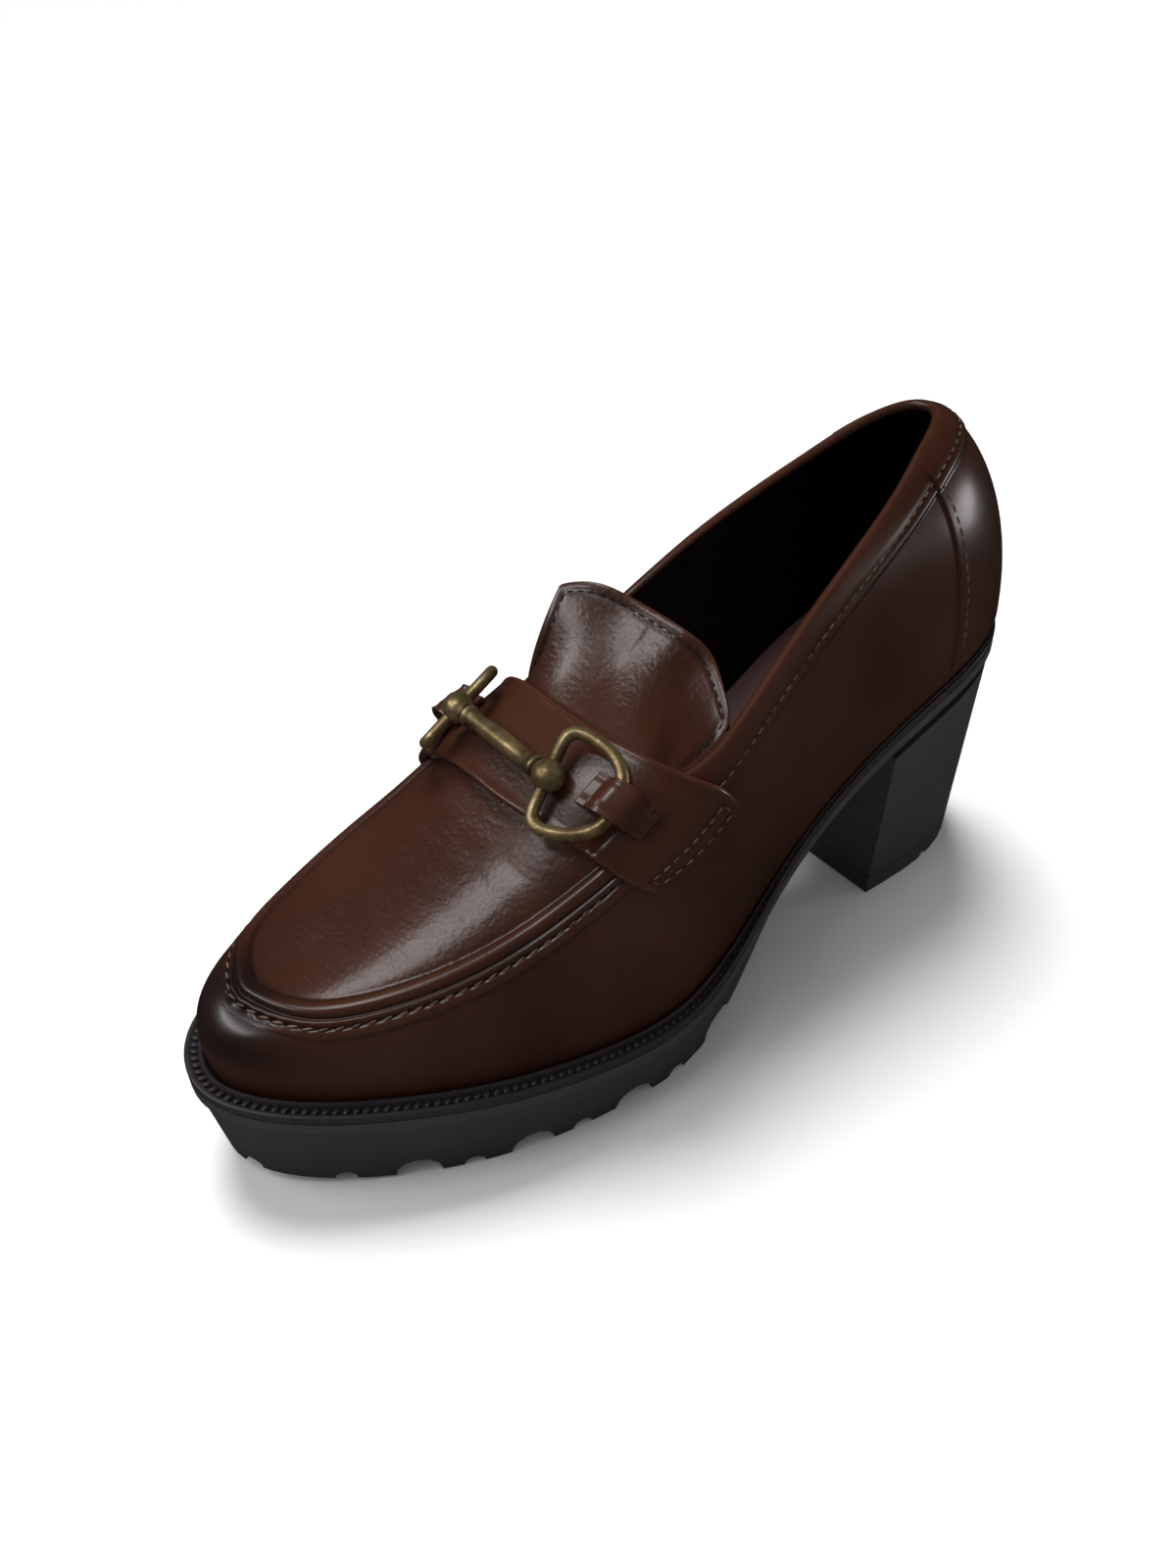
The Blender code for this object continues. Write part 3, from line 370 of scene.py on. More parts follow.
def grid_piece(name: str, points: Array, **marks: Array) -> Object:
    """Grid primitive whose vertices are moved onto a net of points.

    Args:
        name: name of the piece.
        points: places by column and row.
        marks: values by column and row, kept as attributes of the points.

    Returns:
        The new object.
    """
    columns, rows = points.shape[:2]
    bpy.ops.object.select_all(action="DESELECT")
    bpy.ops.mesh.primitive_grid_add(x_subdivisions=columns - 1, y_subdivisions=rows - 1, size=2.0)
    obj = bpy.context.active_object
    obj.name = obj.data.name = name
    flat = np.empty(len(obj.data.vertices) * 3)
    obj.data.vertices.foreach_get("co", flat)
    flat = flat.reshape(-1, 3)
    i = np.rint((flat[:, 0] + 1) / 2 * (columns - 1)).astype(int)
    j = np.rint((flat[:, 1] + 1) / 2 * (rows - 1)).astype(int)
    obj.data.vertices.foreach_set("co", points[i, j].astype(np.float32).ravel())
    for mark, values in marks.items():
        attribute = obj.data.attributes.new(mark, "FLOAT", "POINT")
        attribute.data.foreach_set("value", values[i, j].astype(np.float32).ravel())
    obj.data.update()
    return obj


def weld(obj: Object) -> None:
    """Merge doubles and turn the faces outwards."""
    alone(obj)
    bpy.ops.object.mode_set(mode="EDIT")
    bpy.ops.mesh.select_all(action="SELECT")
    bpy.ops.mesh.remove_doubles(threshold=WELD)
    bpy.ops.mesh.dissolve_degenerate(threshold=WELD)
    bpy.ops.mesh.select_all(action="SELECT")
    bpy.ops.mesh.normals_make_consistent(inside=False)
    bpy.ops.object.mode_set(mode="OBJECT")


def modify(obj: Object, kind: str, **values: object) -> None:
    """Add a modifier with its values and apply it."""
    alone(obj)
    modifier = obj.modifiers.new(kind.lower(), kind)
    for key, value in values.items():
        setattr(modifier, key, value)
    bpy.ops.object.modifier_apply(modifier=modifier.name)


def soften(obj: Object, degrees: float) -> None:
    """Shade smooth below an angle."""
    alone(obj)
    bpy.ops.object.shade_smooth_by_angle(angle=math.radians(degrees))


def joined(name: str, parts: Sequence[Object]) -> Object:
    """Join meshes into the first one."""
    alone(parts[0])
    for part in parts[1:]:
        part.select_set(True)
    if len(parts) > 1:
        bpy.ops.object.join()
    parts[0].name = parts[0].data.name = name
    return parts[0]


def dressed(obj: Object, finish: Material | None, slot: Slot, *nodes: str) -> None:
    """Give a piece its finish and body, and hide the nodes that it stands for.

    Args:
        obj: the finished mesh.
        finish: its material, left out where faces have materials already.
        slot: the record's slot of the finish; not used.
        nodes: CAD nodes that the piece replaces.
    """
    if finish is not None:
        obj.data.materials.clear()
        obj.data.materials.append(finish)
    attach(obj, "root")
    if nodes:
        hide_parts(*nodes)
    LOG.info("%s: %d faces", obj.name, len(obj.data.polygons))


def closed_piece(
    name: str, points: Array, degrees: float, finish: Material, slot: Slot, node: str, **marks: Array
) -> None:
    """Net of points that closes on itself, welded, shaded smooth below an angle and dressed."""
    obj = grid_piece(name, points, **marks)
    weld(obj)
    soften(obj, degrees)
    dressed(obj, finish, slot, node)


def copies(name: str, base: Object, places: Sequence[Matrix]) -> Object:
    """Many copies of one small mesh, joined.

    Args:
        name: name of the joined piece.
        base: the mesh that repeats, which is then removed.
        places: one matrix for each copy.

    Returns:
        The joined object.
    """
    count = len(base.data.vertices)
    local = np.empty(count * 3)
    base.data.vertices.foreach_get("co", local)
    local = np.hstack((local.reshape(-1, 3), np.ones((count, 1))))
    faces = [tuple(p.vertices) for p in base.data.polygons]
    stacked = np.concatenate([(local @ np.array(place).T)[:, :3] for place in places])
    all_faces = [tuple(k + n * count for k in face) for n in range(len(places)) for face in faces]
    mesh = bpy.data.meshes.new(name)
    mesh.from_pydata(stacked.tolist(), [], all_faces)
    mesh.shade_smooth()
    bpy.data.objects.remove(base, do_unlink=True)
    obj = bpy.data.objects.new(name, mesh)
    bpy.context.scene.collection.objects.link(obj)
    return obj


def bead(radius: float, length: float) -> Object:
    """Small rounded bead along X, the start of a stitch or a rib."""
    bpy.ops.object.select_all(action="DESELECT")
    bpy.ops.mesh.primitive_uv_sphere_add(segments=8, ring_count=5, radius=1.0)
    obj = bpy.context.active_object
    obj.data.transform(Matrix.Rotation(QUARTER, 4, "Y"))
    obj.data.transform(Matrix.Diagonal((length / 2, radius, radius, 1.0)))
    return obj


def standing(x: Sequence[float], y: Sequence[float], z: Sequence[float], place: Sequence[float]) -> Matrix:
    """Matrix of three directions and a place."""
    return Matrix(((*x, 0.0), (*y, 0.0), (*z, 0.0), (*place, 1.0))).transposed()


def run_along(points: Array) -> Array:
    """Distance from a line's start to each of its points."""
    return np.concatenate(([0.0], np.cumsum(np.linalg.norm(np.diff(points, axis=0), axis=1))))


def along_line(at: Array | float, run: Array, values: Array) -> Array:
    """Values of a line at distances along it."""
    return np.stack([np.interp(at, run, values[:, k]) for k in range(values.shape[1])], -1)


def frames_along(points: Array, normals: Array, pitch: float, turn: float = 0.0) -> list[Matrix]:
    """Places at even distances along a line on a surface.

    Args:
        points: the line.
        normals: the surface's directions along it.
        pitch: distance between two places.
        turn: turn of each place about the normal, degrees.

    Returns:
        One matrix for each place, X along the line and Z outwards.
    """
    run = run_along(points)
    count = max(int(run[-1] / pitch), 1)
    at = (np.arange(count) + 0.5) * run[-1] / count
    places = []
    for spot in at:
        up = unit(along_line(spot, run, normals))
        along = unit(along_line(spot + pitch / 3, run, points) - along_line(spot - pitch / 3, run, points))
        along = unit(along - up * (along @ up))
        side = np.cross(up, along)
        if turn:
            c, s = math.cos(math.radians(turn)), math.sin(math.radians(turn))
            along, side = along * c + side * s, side * c - along * s
        places.append(standing(along, side, up, along_line(spot, run, points)))
    return places


def stitch_row(
    radius: float, length: float, points: Array, normals: Array, pitch: float, turn: float = 0.0
) -> Object:
    """Row of stitches of one radius and length along a line on a surface."""
    return copies("stitches", bead(radius, length), frames_along(points, normals, pitch, turn))


# Shader tools


class Nodes:
    """Short way to place and link shader nodes in one tree."""

    def __init__(self, tree: Tree) -> None:
        """Keep the tree."""
        self.tree = tree

    def add(self, kind: str, values: dict | None = None, **settings: object) -> Node:
        """Add a node.

        Args:
            kind: the node's type without ShaderNode.
            values: input name or number to a value or to the socket that feeds it.
            settings: the node's own properties.

        Returns:
            The node.
        """
        node = self.tree.nodes.new("ShaderNode" + kind)
        for key, value in settings.items():
            setattr(node, key, value)
        for key, value in (values or {}).items():
            if isinstance(value, Socket):
                self.tree.links.new(value, node.inputs[key])
            else:
                node.inputs[key].default_value = value
        return node

    def math(self, operation: str, a: object, b: object = 0.0, clamp: bool = False) -> Socket:
        """Result of an operation on two values or sockets."""
        return self.add("Math", {0: a, 1: b}, operation=operation, use_clamp=clamp).outputs[0]

    def mix(self, share: object, a: object, b: object) -> Socket:
        """Colour mixed from two colours or sockets."""
        return self.add("Mix", {0: share, 6: a, 7: b}, data_type="RGBA").outputs[2]

    def ramp(self, value: object, low: float, high: float, start: float = 0.0, end: float = 1.0) -> Socket:
        """Value moved from one range to another, held at its ends."""
        inputs = {0: value, 1: low, 2: high, 3: start, 4: end}
        return self.add("MapRange", inputs, interpolation_type="SMOOTHSTEP").outputs[0]

    def toned(self, tone: Node, low: Colour, high: Colour) -> Socket:
        """Colour that changes with the tone group's value."""
        return self.mix(tone.outputs[0], (*low, 1), (*high, 1))

    def scaled(self, value: object, by: float, plus: float = 0.0) -> Socket:
        """Value times a number, plus a number."""
        found = self.math("MULTIPLY", value, by)
        return self.math("ADD", found, plus) if plus else found

    def mark(self, name: str) -> Socket:
        """Value of one of the piece's own attributes."""
        return self.add("Attribute", attribute_name=name).outputs["Fac"]

    def group(self, tree: Tree, place: Socket, **values: float) -> Node:
        """Place a shader group with its values."""
        node = self.tree.nodes.new("ShaderNodeGroup")
        node.node_tree = tree
        self.tree.links.new(place, node.inputs["Vector"])
        for key, value in values.items():
            node.inputs[key].default_value = value
        return node

    def ended(self, out: Node, *sockets: Socket) -> Tree:
        """Feed a group's outputs.

        Args:
            out: the group's output node.
            sockets: one socket for each output.

        Returns:
            The finished group.
        """
        for socket, end in zip(sockets, out.inputs):
            self.tree.links.new(socket, end)
        return self.tree

    def bump(self, height: object, strength: float, distance: float, **under: object) -> Socket:
        """Normal bent by a height, on the normal under it where that is given."""
        values = {"Height": height, "Strength": strength, "Distance": distance, **under}
        return self.add("Bump", values).outputs[0]

    def surface(self, colour: object, rough: object, normal: object, **values: float) -> None:
        """Feed the material's Principled shader and set its other values."""
        shader = self.tree.nodes["Principled BSDF"]
        for key, socket in (("Base Color", colour), ("Roughness", rough), ("Normal", normal)):
            self.tree.links.new(socket, shader.inputs[key])
        for key, value in values.items():
            shader.inputs[key.replace("_", " ")].default_value = value


def shader_group(name: str, inputs: dict[str, float], outputs: Sequence[str]) -> tuple[Nodes, Node, Node]:
    """New node group with float inputs and outputs.

    Args:
        name: name of the group.
        inputs: input names with their start values.
        outputs: output names.

    Returns:
        The group's nodes, its input node and its output node.
    """
    tree = bpy.data.node_groups.new(name, "ShaderNodeTree")
    tree.interface.new_socket(name="Vector", in_out="INPUT", socket_type="NodeSocketVector")
    for key, value in inputs.items():
        socket = tree.interface.new_socket(name=key, in_out="INPUT", socket_type="NodeSocketFloat")
        socket.default_value = value
    for key in outputs:
        tree.interface.new_socket(name=key, in_out="OUTPUT", socket_type="NodeSocketFloat")
    return Nodes(tree), tree.nodes.new("NodeGroupInput"), tree.nodes.new("NodeGroupOutput")


def grain_group() -> Tree:
    """Fine pebbled grain: Height from cells and waves, and Pores for linings."""
    nodes, given, out = shader_group("grain", {"Cells": 900.0, "Waves": 260.0}, ("Height", "Pores"))
    place, cell_scale, wave_scale = given.outputs[:3]
    cells = nodes.add("TexVoronoi", {"Vector": place, "Scale": cell_scale}, feature="SMOOTH_F1")
    waves = nodes.add("TexNoise", {"Vector": place, "Scale": wave_scale, "Detail": 3.0})
    round_cells = nodes.math("MULTIPLY", cells.outputs["Distance"], cells.outputs["Distance"])
    waved = nodes.math("MULTIPLY", waves.outputs[0], 0.9)
    height = nodes.math("ADD", nodes.math("MULTIPLY", round_cells, 0.5), waved)
    return nodes.ended(out, height, nodes.ramp(waves.outputs[0], 0.42, 0.66))


def crease_group() -> Tree:
    """Long fine wrinkles: Height from a stretched and bent noise."""
    nodes, given, out = shader_group("creases", {"Scale": 110.0, "Stretch": 0.35}, ("Height",))
    bent = nodes.add("TexNoise", {"Vector": given.outputs[0], "Scale": 45.0, "Detail": 1.0})
    moved = nodes.add("VectorMath", {0: bent.outputs[1], 1: (0.010, 0.010, 0.010)}, operation="MULTIPLY")
    placed = nodes.add("VectorMath", {0: given.outputs[0], 1: moved.outputs[0]}, operation="ADD")
    shrunk = nodes.add("CombineXYZ", {0: 1.0, 1: given.outputs[2], 2: 1.0})
    long = nodes.add("VectorMath", {0: placed.outputs[0], 1: shrunk.outputs[0]}, operation="MULTIPLY")
    values = {"Vector": long.outputs[0], "Scale": given.outputs[1], "Detail": 3.0, "Roughness": 0.5}
    lines = nodes.add("TexNoise", values)
    return nodes.ended(out, lines.outputs[0])


def tone_group() -> Tree:
    """Slow change of tone over the surface, from 0 to 1."""
    nodes, given, out = shader_group("tone", {"Scale": 30.0, "Contrast": 0.5}, ("Tone",))
    clouds = nodes.add("TexNoise", {"Vector": given.outputs[0], "Scale": given.outputs[1], "Detail": 1.5})
    centred = nodes.math("SUBTRACT", clouds.outputs[0], 0.5)
    spread = nodes.math("MULTIPLY", centred, nodes.math("MULTIPLY", given.outputs[2], 4.0))
    return nodes.ended(out, nodes.math("ADD", spread, 0.5, True))


class Groups:
    """The shader groups that more than one finish uses, built once."""

    def __init__(self) -> None:
        """Build the groups."""
        self.grain = grain_group()
        self.creases = crease_group()
        self.tone = tone_group()


def new_finish(name: str) -> tuple[Material, Nodes, Socket]:
    """Material with its nodes and Object coordinates."""
    found = bpy.data.materials.new(name)
    found.use_nodes = True
    nodes = Nodes(found.node_tree)
    return found, nodes, nodes.add("TexCoord").outputs["Object"]


@dataclass(frozen=True)
class Leather:
    """Smooth polished leather with fine grain, creases, burnished places, painted shade in grooves and worn
    edges.
    """

    name: str
    base: Colour
    deep: Colour
    # Near-black colour of the real burnish at the toe and of the painted shade in grooves and under steps
    burnt: Colour = (0.006, 0.004, 0.005)
    worn: Colour = (0.085, 0.032, 0.018)
    rough: float = 0.30
    coat: float = 0.32
    grain: float = 0.28
    crease: float = 0.12

    def build(self, groups: Groups) -> Material:
        """Make the material."""
        found, nodes, place = new_finish(self.name)
        grain = nodes.group(groups.grain, place, Cells=950.0, Waves=900.0)
        crease = nodes.group(groups.creases, place, Scale=520.0, Stretch=0.45)
        tone = nodes.group(groups.tone, place, Scale=26.0, Contrast=0.55)
        fine = nodes.group(groups.tone, place, Scale=150.0, Contrast=0.35)
        colour = nodes.toned(tone, self.deep, self.base)
        speckle = nodes.math("MULTIPLY", fine.outputs[0], 0.12)
        colour = nodes.mix(speckle, colour, (*self.deep, 1))
        worn = nodes.math("MULTIPLY", nodes.mark("worn"), nodes.ramp(fine.outputs[0], 0.2, 0.8, 0.45, 1.0))
        colour = nodes.mix(worn, colour, (*self.worn, 1))
        # Mix towards near black: real burnish at the toe, painted shade in the grooves, under the collar's
        # step and at the wall's foot
        burnt = nodes.math("MULTIPLY", nodes.mark("burnt"), nodes.ramp(tone.outputs[0], 0.1, 0.9, 0.85, 1.0))
        colour = nodes.mix(burnt, colour, (*self.burnt, 1))
        rough = nodes.scaled(fine.outputs[0], 0.08, self.rough - 0.04)
        rough = nodes.math("SUBTRACT", rough, nodes.math("MULTIPLY", worn, 0.08))
        creased = nodes.math("MULTIPLY", crease.outputs[0], nodes.mark("creased"))
        low = nodes.bump(creased, self.crease, 0.0012)
        shown = nodes.ramp(nodes.mark("creased"), 0.0, 0.6, 0.12, 1.0)
        pebbled = nodes.math("MULTIPLY", grain.outputs[0], shown)
        bump = nodes.bump(pebbled, self.grain, 0.0004, Normal=low)
        nodes.surface(colour, rough, bump, Coat_Weight=self.coat, Coat_Roughness=0.18, IOR=1.47)
        return found


@dataclass(frozen=True)
class Rubber:
    """Matt moulded rubber, a little dusty."""

    name: str
    base: Colour
    dust: Colour = (0.050, 0.042, 0.042)
    rough: float = 0.52
    grain: float = 0.16

    def build(self, groups: Groups) -> Material:
        """Make the material."""
        found, nodes, place = new_finish(self.name)
        grain = nodes.group(groups.grain, place, Cells=1700.0, Waves=600.0)
        tone = nodes.group(groups.tone, place, Scale=42.0, Contrast=0.6)
        fine = nodes.group(groups.tone, place, Scale=520.0, Contrast=0.7)
        dusty = nodes.math("MULTIPLY", tone.outputs[0], nodes.math("MULTIPLY", fine.outputs[0], 0.35))
        colour = nodes.mix(dusty, (*self.base, 1), (*self.dust, 1))
        rough = nodes.scaled(tone.outputs[0], 0.18, self.rough - 0.09)
        bump = nodes.bump(grain.outputs[0], self.grain, 0.0003)
        nodes.surface(colour, rough, bump)
        return found


@dataclass(frozen=True)
class Lining:
    """Dull lining leather with pores."""

    name: str
    base: Colour
    pale: Colour
    rough: float = 0.62

    def build(self, groups: Groups) -> Material:
        """Make the material."""
        found, nodes, place = new_finish(self.name)
        grain = nodes.group(groups.grain, place, Cells=800.0, Waves=300.0)
        crease = nodes.group(groups.creases, place, Scale=70.0, Stretch=0.4)
        tone = nodes.group(groups.tone, place, Scale=35.0, Contrast=0.6)
        colour = nodes.toned(tone, self.base, self.pale)
        pores = nodes.math("MULTIPLY", grain.outputs[1], 0.35)
        colour = nodes.mix(pores, colour, (*self.base, 1))
        low = nodes.bump(crease.outputs[0], 0.12, 0.0008)
        bump = nodes.bump(grain.outputs[0], 0.25, 0.0004, Normal=low)
        rough = nodes.scaled(grain.outputs[1], 0.12, self.rough - 0.06)
        nodes.surface(colour, rough, bump)
        return found


@dataclass(frozen=True)
class Thread:
    """Waxed sewing thread with its twist."""

    name: str
    base: Colour
    pale: Colour

    def build(self, groups: Groups) -> Material:
        """Make the material."""
        found, nodes, place = new_finish(self.name)
        tone = nodes.group(groups.tone, place, Scale=160.0, Contrast=0.8)
        values = {"Vector": place, "Scale": 1500.0, "Distortion": 2.0}
        twist = nodes.add("TexWave", values, bands_direction="DIAGONAL")
        colour = nodes.toned(tone, self.base, self.pale)
        bump = nodes.bump(twist.outputs[1], 0.5, 0.0001)
        rough = nodes.scaled(tone.outputs[0], 0.15, 0.5)
        nodes.surface(colour, rough, bump)
        return found


@dataclass(frozen=True)
class Brass:
    """Aged cast brass, dark where it lies deep and bright where hands rub it."""

    name: str
    base: Colour
    bright: Colour
    patina: Colour

    def build(self, groups: Groups) -> Material:
        """Make the material."""
        found, nodes, place = new_finish(self.name)
        grain = nodes.group(groups.grain, place, Cells=1500.0, Waves=700.0)
        tone = nodes.group(groups.tone, place, Scale=170.0, Contrast=0.8)
        fine = nodes.group(groups.tone, place, Scale=900.0, Contrast=0.8)
        colour = nodes.toned(tone, self.base, self.bright)
        deep = nodes.math("ADD", nodes.mark("deep"), nodes.math("MULTIPLY", fine.outputs[0], 0.30), True)
        colour = nodes.mix(deep, colour, (*self.patina, 1))
        rough = nodes.scaled(deep, 0.25, 0.36)
        bump = nodes.bump(grain.outputs[0], 0.22, 0.0003)
        nodes.surface(colour, rough, bump, Metallic=0.86)
        return found


class Finishes:
    """Every finish of the shoe."""

    def __init__(self) -> None:
        """Build the materials."""
        groups = Groups()
        recipes = (
            Leather("polished_brown_leather", (0.058, 0.0200, 0.0104), (0.034, 0.0112, 0.0062)),
            # Near-black lining colour is painted shade for the shadowed inside of the shoe and the tongue's
            # underside
            Lining("lining_painted_shade", (0.0030, 0.0026, 0.0032), (0.0070, 0.0052, 0.0060)),
            Lining("sock_leather", (0.190, 0.100, 0.105), (0.300, 0.175, 0.180), 0.45),
            Rubber("sole_rubber_unit", (0.0480, 0.0420, 0.0465)),
            Rubber("welt_rubber", (0.0260, 0.0220, 0.0245), rough=0.38, grain=0.08),
            Thread("waxed_thread", (0.085, 0.043, 0.027), (0.170, 0.100, 0.066)),
            Thread("dark_thread", (0.008, 0.004, 0.004), (0.018, 0.009, 0.008)),
            Brass("aged_brass_cast", (0.27, 0.190, 0.085), (0.54, 0.41, 0.21), (0.060, 0.042, 0.020)),
        )
        built = [recipe.build(groups) for recipe in recipes]
        self.leather, self.lining, self.sock, self.rubber, *rest = built
        self.welt, self.thread, self.dark_thread, self.brass = rest


# Upper


@dataclass
class Upper:
    """Leather shell with its apron seam, collar band, counter and lining."""

    seam_fade: float = 0.560
    seam_fade_run: float = 0.030
    counter: float = 0.253
    counter_step: float = 0.0008
    counter_run: float = 0.0016
    collar_band: float = 0.0090
    collar_step: float = 0.0006
    collar_fade: float = 0.075
    pucker_pitch: float = 0.0034
    pucker: float = 0.00020
    stitch_line: float = 0.0041
    seam_low: float = 8.0
    seam_high: float = 3.4
    groove: float = -4.1
    toe_dark: tuple[float, float] = (0.80, 0.13)
    band_fade: tuple[float, float] = (0.74, 0.20)
    glow: tuple[float, float] = (0.86, 0.10)
    near_rim: float = 0.05
    roll_out: float = 0.0008
    stitches_from: float = 0.592
    stitch: tuple[float, float, float] = (0.00026, 0.0022, 0.0030)
    stations: Sequence[tuple[float, int]] = (
        (0.0, 34), (0.2485, 12), (0.2575, 34), (0.500, 20), (0.564, 96), (0.90, 30), (1.0, 0),
    )
    # Section across the apron seam in mm: distance from the bead's middle towards the apron, height
    SEAM = (
        (-8.0, 0.00), (-7.2, 0.00), (-6.9, -0.05), (-6.6, 0.10), (-6.1, 0.30), (-5.4, 0.40), (-4.8, 0.36),
        (-4.4, 0.14), (-4.1, -0.12), (-3.8, 0.10), (-3.5, 0.52), (-3.0, 0.76), (-2.5, 0.72), (-2.15, 0.42),
        (-1.95, 0.20), (-1.75, 0.40), (-1.4, 0.98), (-0.8, 1.44), (0.0, 1.60), (0.8, 1.42), (1.4, 0.94),
        (1.75, 0.38), (2.1, 0.04), (2.6, -0.05), (3.4, 0.00),
    )
    # Dark lines along the seam, painted shade in its grooves: distance from the bead's middle, width,
    # darkness
    LINES = ((-6.9, 0.30, 0.5), (-4.1, 0.45, 0.8), (-1.95, 0.30, 0.8), (2.1, 0.40, 0.6))
    # The collar's band: share of its width, share of the fold's height, darkness (painted shade under the
    # band's step and in its stitched groove), wear
    COLLAR = (
        (-0.06, 0.00, 0.35, 0.0), (0.00, 0.00, 0.70, 0.0), (0.03, 0.65, 0.25, 0.0),
        (0.08, 1.00, 0.00, 0.05), (0.21, 0.95, 0.10, 0.0), (0.28, 0.55, 0.60, 0.0),
        (0.35, 0.95, 0.10, 0.0), (0.50, 1.05, 0.00, 0.0), (0.66, 1.05, 0.00, 0.0),
        (0.80, 1.00, 0.00, 0.10), (0.92, 0.95, 0.00, 0.20), (1.00, 0.75, 0.00, 0.30),
    )
    # Soft creases: rib, from angle, to angle (shares of the rib), side, width in shares of ribs, depth in mm
    CREASES = (
        (0.622, 0.62, 1.02, 1, 0.0060, 0.13), (0.622, 0.55, 1.02, -1, 0.0060, 0.13),
        (0.643, 0.68, 1.02, 1, 0.0060, 0.09), (0.650, 0.60, 1.02, -1, 0.0060, 0.10),
        (0.668, 0.72, 0.98, 1, 0.0060, 0.06), (0.600, 0.20, 0.50, 1, 0.0070, 0.28),
        (0.575, 0.14, 0.42, 1, 0.0070, 0.22), (0.610, 0.20, 0.52, -1, 0.0070, 0.30),
    )

    def build(self, finishes: Finishes) -> None:
        """Make the shell and its stitches."""
        t, side = LAST.round_shoe(spaced(self.stations))
        angle, lift, *values = self.rows(t, side)
        points = LAST.place(t[:, None], side[:, None], angle, lift)
        foot_x, foot_y = LAST.rim(t, side, LAST.ledge(t))
        foot = LAST.centred(np.stack((foot_x, foot_y, LAST.sole_top(foot_x) + LAST.gap), -1))
        points = np.concatenate((foot[:, None], points), 1)
        padded = [np.concatenate((value[:, :1], value), 1) for value in values]
        outer = grid_piece("upper_shell", points, **dict(zip(("burnt", "worn", "creased"), padded)))
        lining = self.lining(t, side, points[:, -1], foot)
        lining.data.materials.append(finishes.leather)
        lining.data.materials.append(finishes.lining)
        lining.data.polygons.foreach_set("material_index", np.ones(len(lining.data.polygons), int))
        outer.data.materials.append(finishes.leather)
        shell = joined("upper_shell", [outer, lining])
        weld(shell)
        soften(shell, 55)
        dressed(shell, None, Slot.LEATHER, "upper")
        self.stitches(finishes)

    def rows(self, t: Array, side: Array) -> tuple[Array, ...]:
        """Angles, heights and marks of every rib's rows.

        Args:
            t: ribs once round the shoe.
            side: their sides.

        Returns:
            Angle, height, burnish and painted shade, wear and crease marks by rib and row.
        """
        end = LAST.edge_angle(t, side)
        seam = LAST.seam_angle(t, side)
        stretch = LAST.stretch(t, side, seam)
        low = np.minimum(self.seam_low * MM / stretch, seam * 0.5)
        high = np.minimum(self.seam_high * MM / stretch, (end - seam) * 0.55)
        rim_stretch = LAST.stretch(t, side, end - self.near_rim)
        band = np.minimum(self.collar_band / rim_stretch, (end - seam - high) * 0.8)
        opened = 1 - smooth((t - LAST.throat + self.collar_fade) / 0.05)
        counter = self.counter_height(t)
        fades = (self.toe_dark, self.band_fade, self.glow)
        toe, band_end, glow = (smooth((t - at) / run) for at, run in fades)
        rows = (
            *self.wall_rows(seam - low, counter, toe),
            *self.seam_rows((t, side, seam, low, high), counter, toe, band_end),
            *self.apron_rows(seam + high, end - band, counter, glow),
            *self.collar_rows(end, band, counter, opened),
            *self.rolled_rows(t, end, self.roll_out / rim_stretch, opened),
        )
        columns = ([value + np.zeros_like(t) for value in column] for column in zip(*rows))
        angle, lift, burnt, worn = (np.stack(column, 1) for column in columns)
        lift = lift - self.creases(t, side, angle, end)
        creased = self.crease_mark(t, angle / end[:, None], seam / end)
        return angle, lift, np.clip(burnt, 0, 1), worn, creased

    def wall_rows(self, top: Array, counter: Array, toe: Array) -> Iterator[Row]:
        """Rows from the welt up to the seam, burnished dark at the toe and with painted shade at their foot
        by the welt.
        """
        for share in np.linspace(0, 1, 16)[:-1]:
            # Toe term is real burnish; the term at the foot is painted shade in the corner with the welt
            dark = toe * (0.92 * smooth((share - 0.12) / 0.5)) + 0.25 * (1 - share) ** 4
            yield top * share, counter * min(share * 12, 1.0), dark, 0.0

    def seam_rows(
        self, lines: tuple[Array, ...], counter: Array, toe: Array, band_end: Array
    ) -> Iterator[Row]:
        """Rows across the apron seam: flat band, stitched groove, second ridge and bead.

        Args:
            lines: ribs, sides, and the angles of the seam and of its lower and upper part.
            counter: height of the counter.
            toe: how dark each rib is at the toe.
            band_end: how far the flat band has run out at the toe.

        Yields:
            Angle, height, burnish and painted shade, and wear of each row.
        """
        t, side, seam, low, high = lines
        shown = smooth((t - self.seam_fade) / self.seam_fade_run)
        across = np.concatenate(([-8.0, -7.5], np.linspace(-7.1, 2.3, 42), [2.6, 3.0, 3.4]))
        heights = np.interp(across, *zip(*self.SEAM)) * MM
        wave = np.cos(2 * math.pi * run_along(LAST.arch(t, side, seam)) / self.pucker_pitch)
        for d, height in zip(across, heights):
            angle = seam + np.where(d < 0, d / self.seam_low * low, d / self.seam_high * high)
            groove = math.exp(-(((d - self.groove) / 0.9) ** 2))
            band_fade = 1 - 0.9 * band_end * (d < self.groove - 0.2)
            lift = shown * (height * band_fade + self.pucker * wave * groove) + counter
            # Painted shade in the seam's grooves, added to the real burnish at the toe
            near_line = sum(deep * math.exp(-(((d - at) / wide) ** 2)) for at, wide, deep in self.LINES)
            dark = np.clip(toe * 0.95 * (1 if d < 1.2 else 0.45) + near_line * band_fade * shown, 0, 1)
            rubbed = 0.22 * math.exp(-((d + 5.5) ** 4)) + 0.12 * math.exp(-((d / 1.7) ** 2))
            yield angle, lift, dark, np.clip(rubbed * shown * (1 - toe), 0, 1)

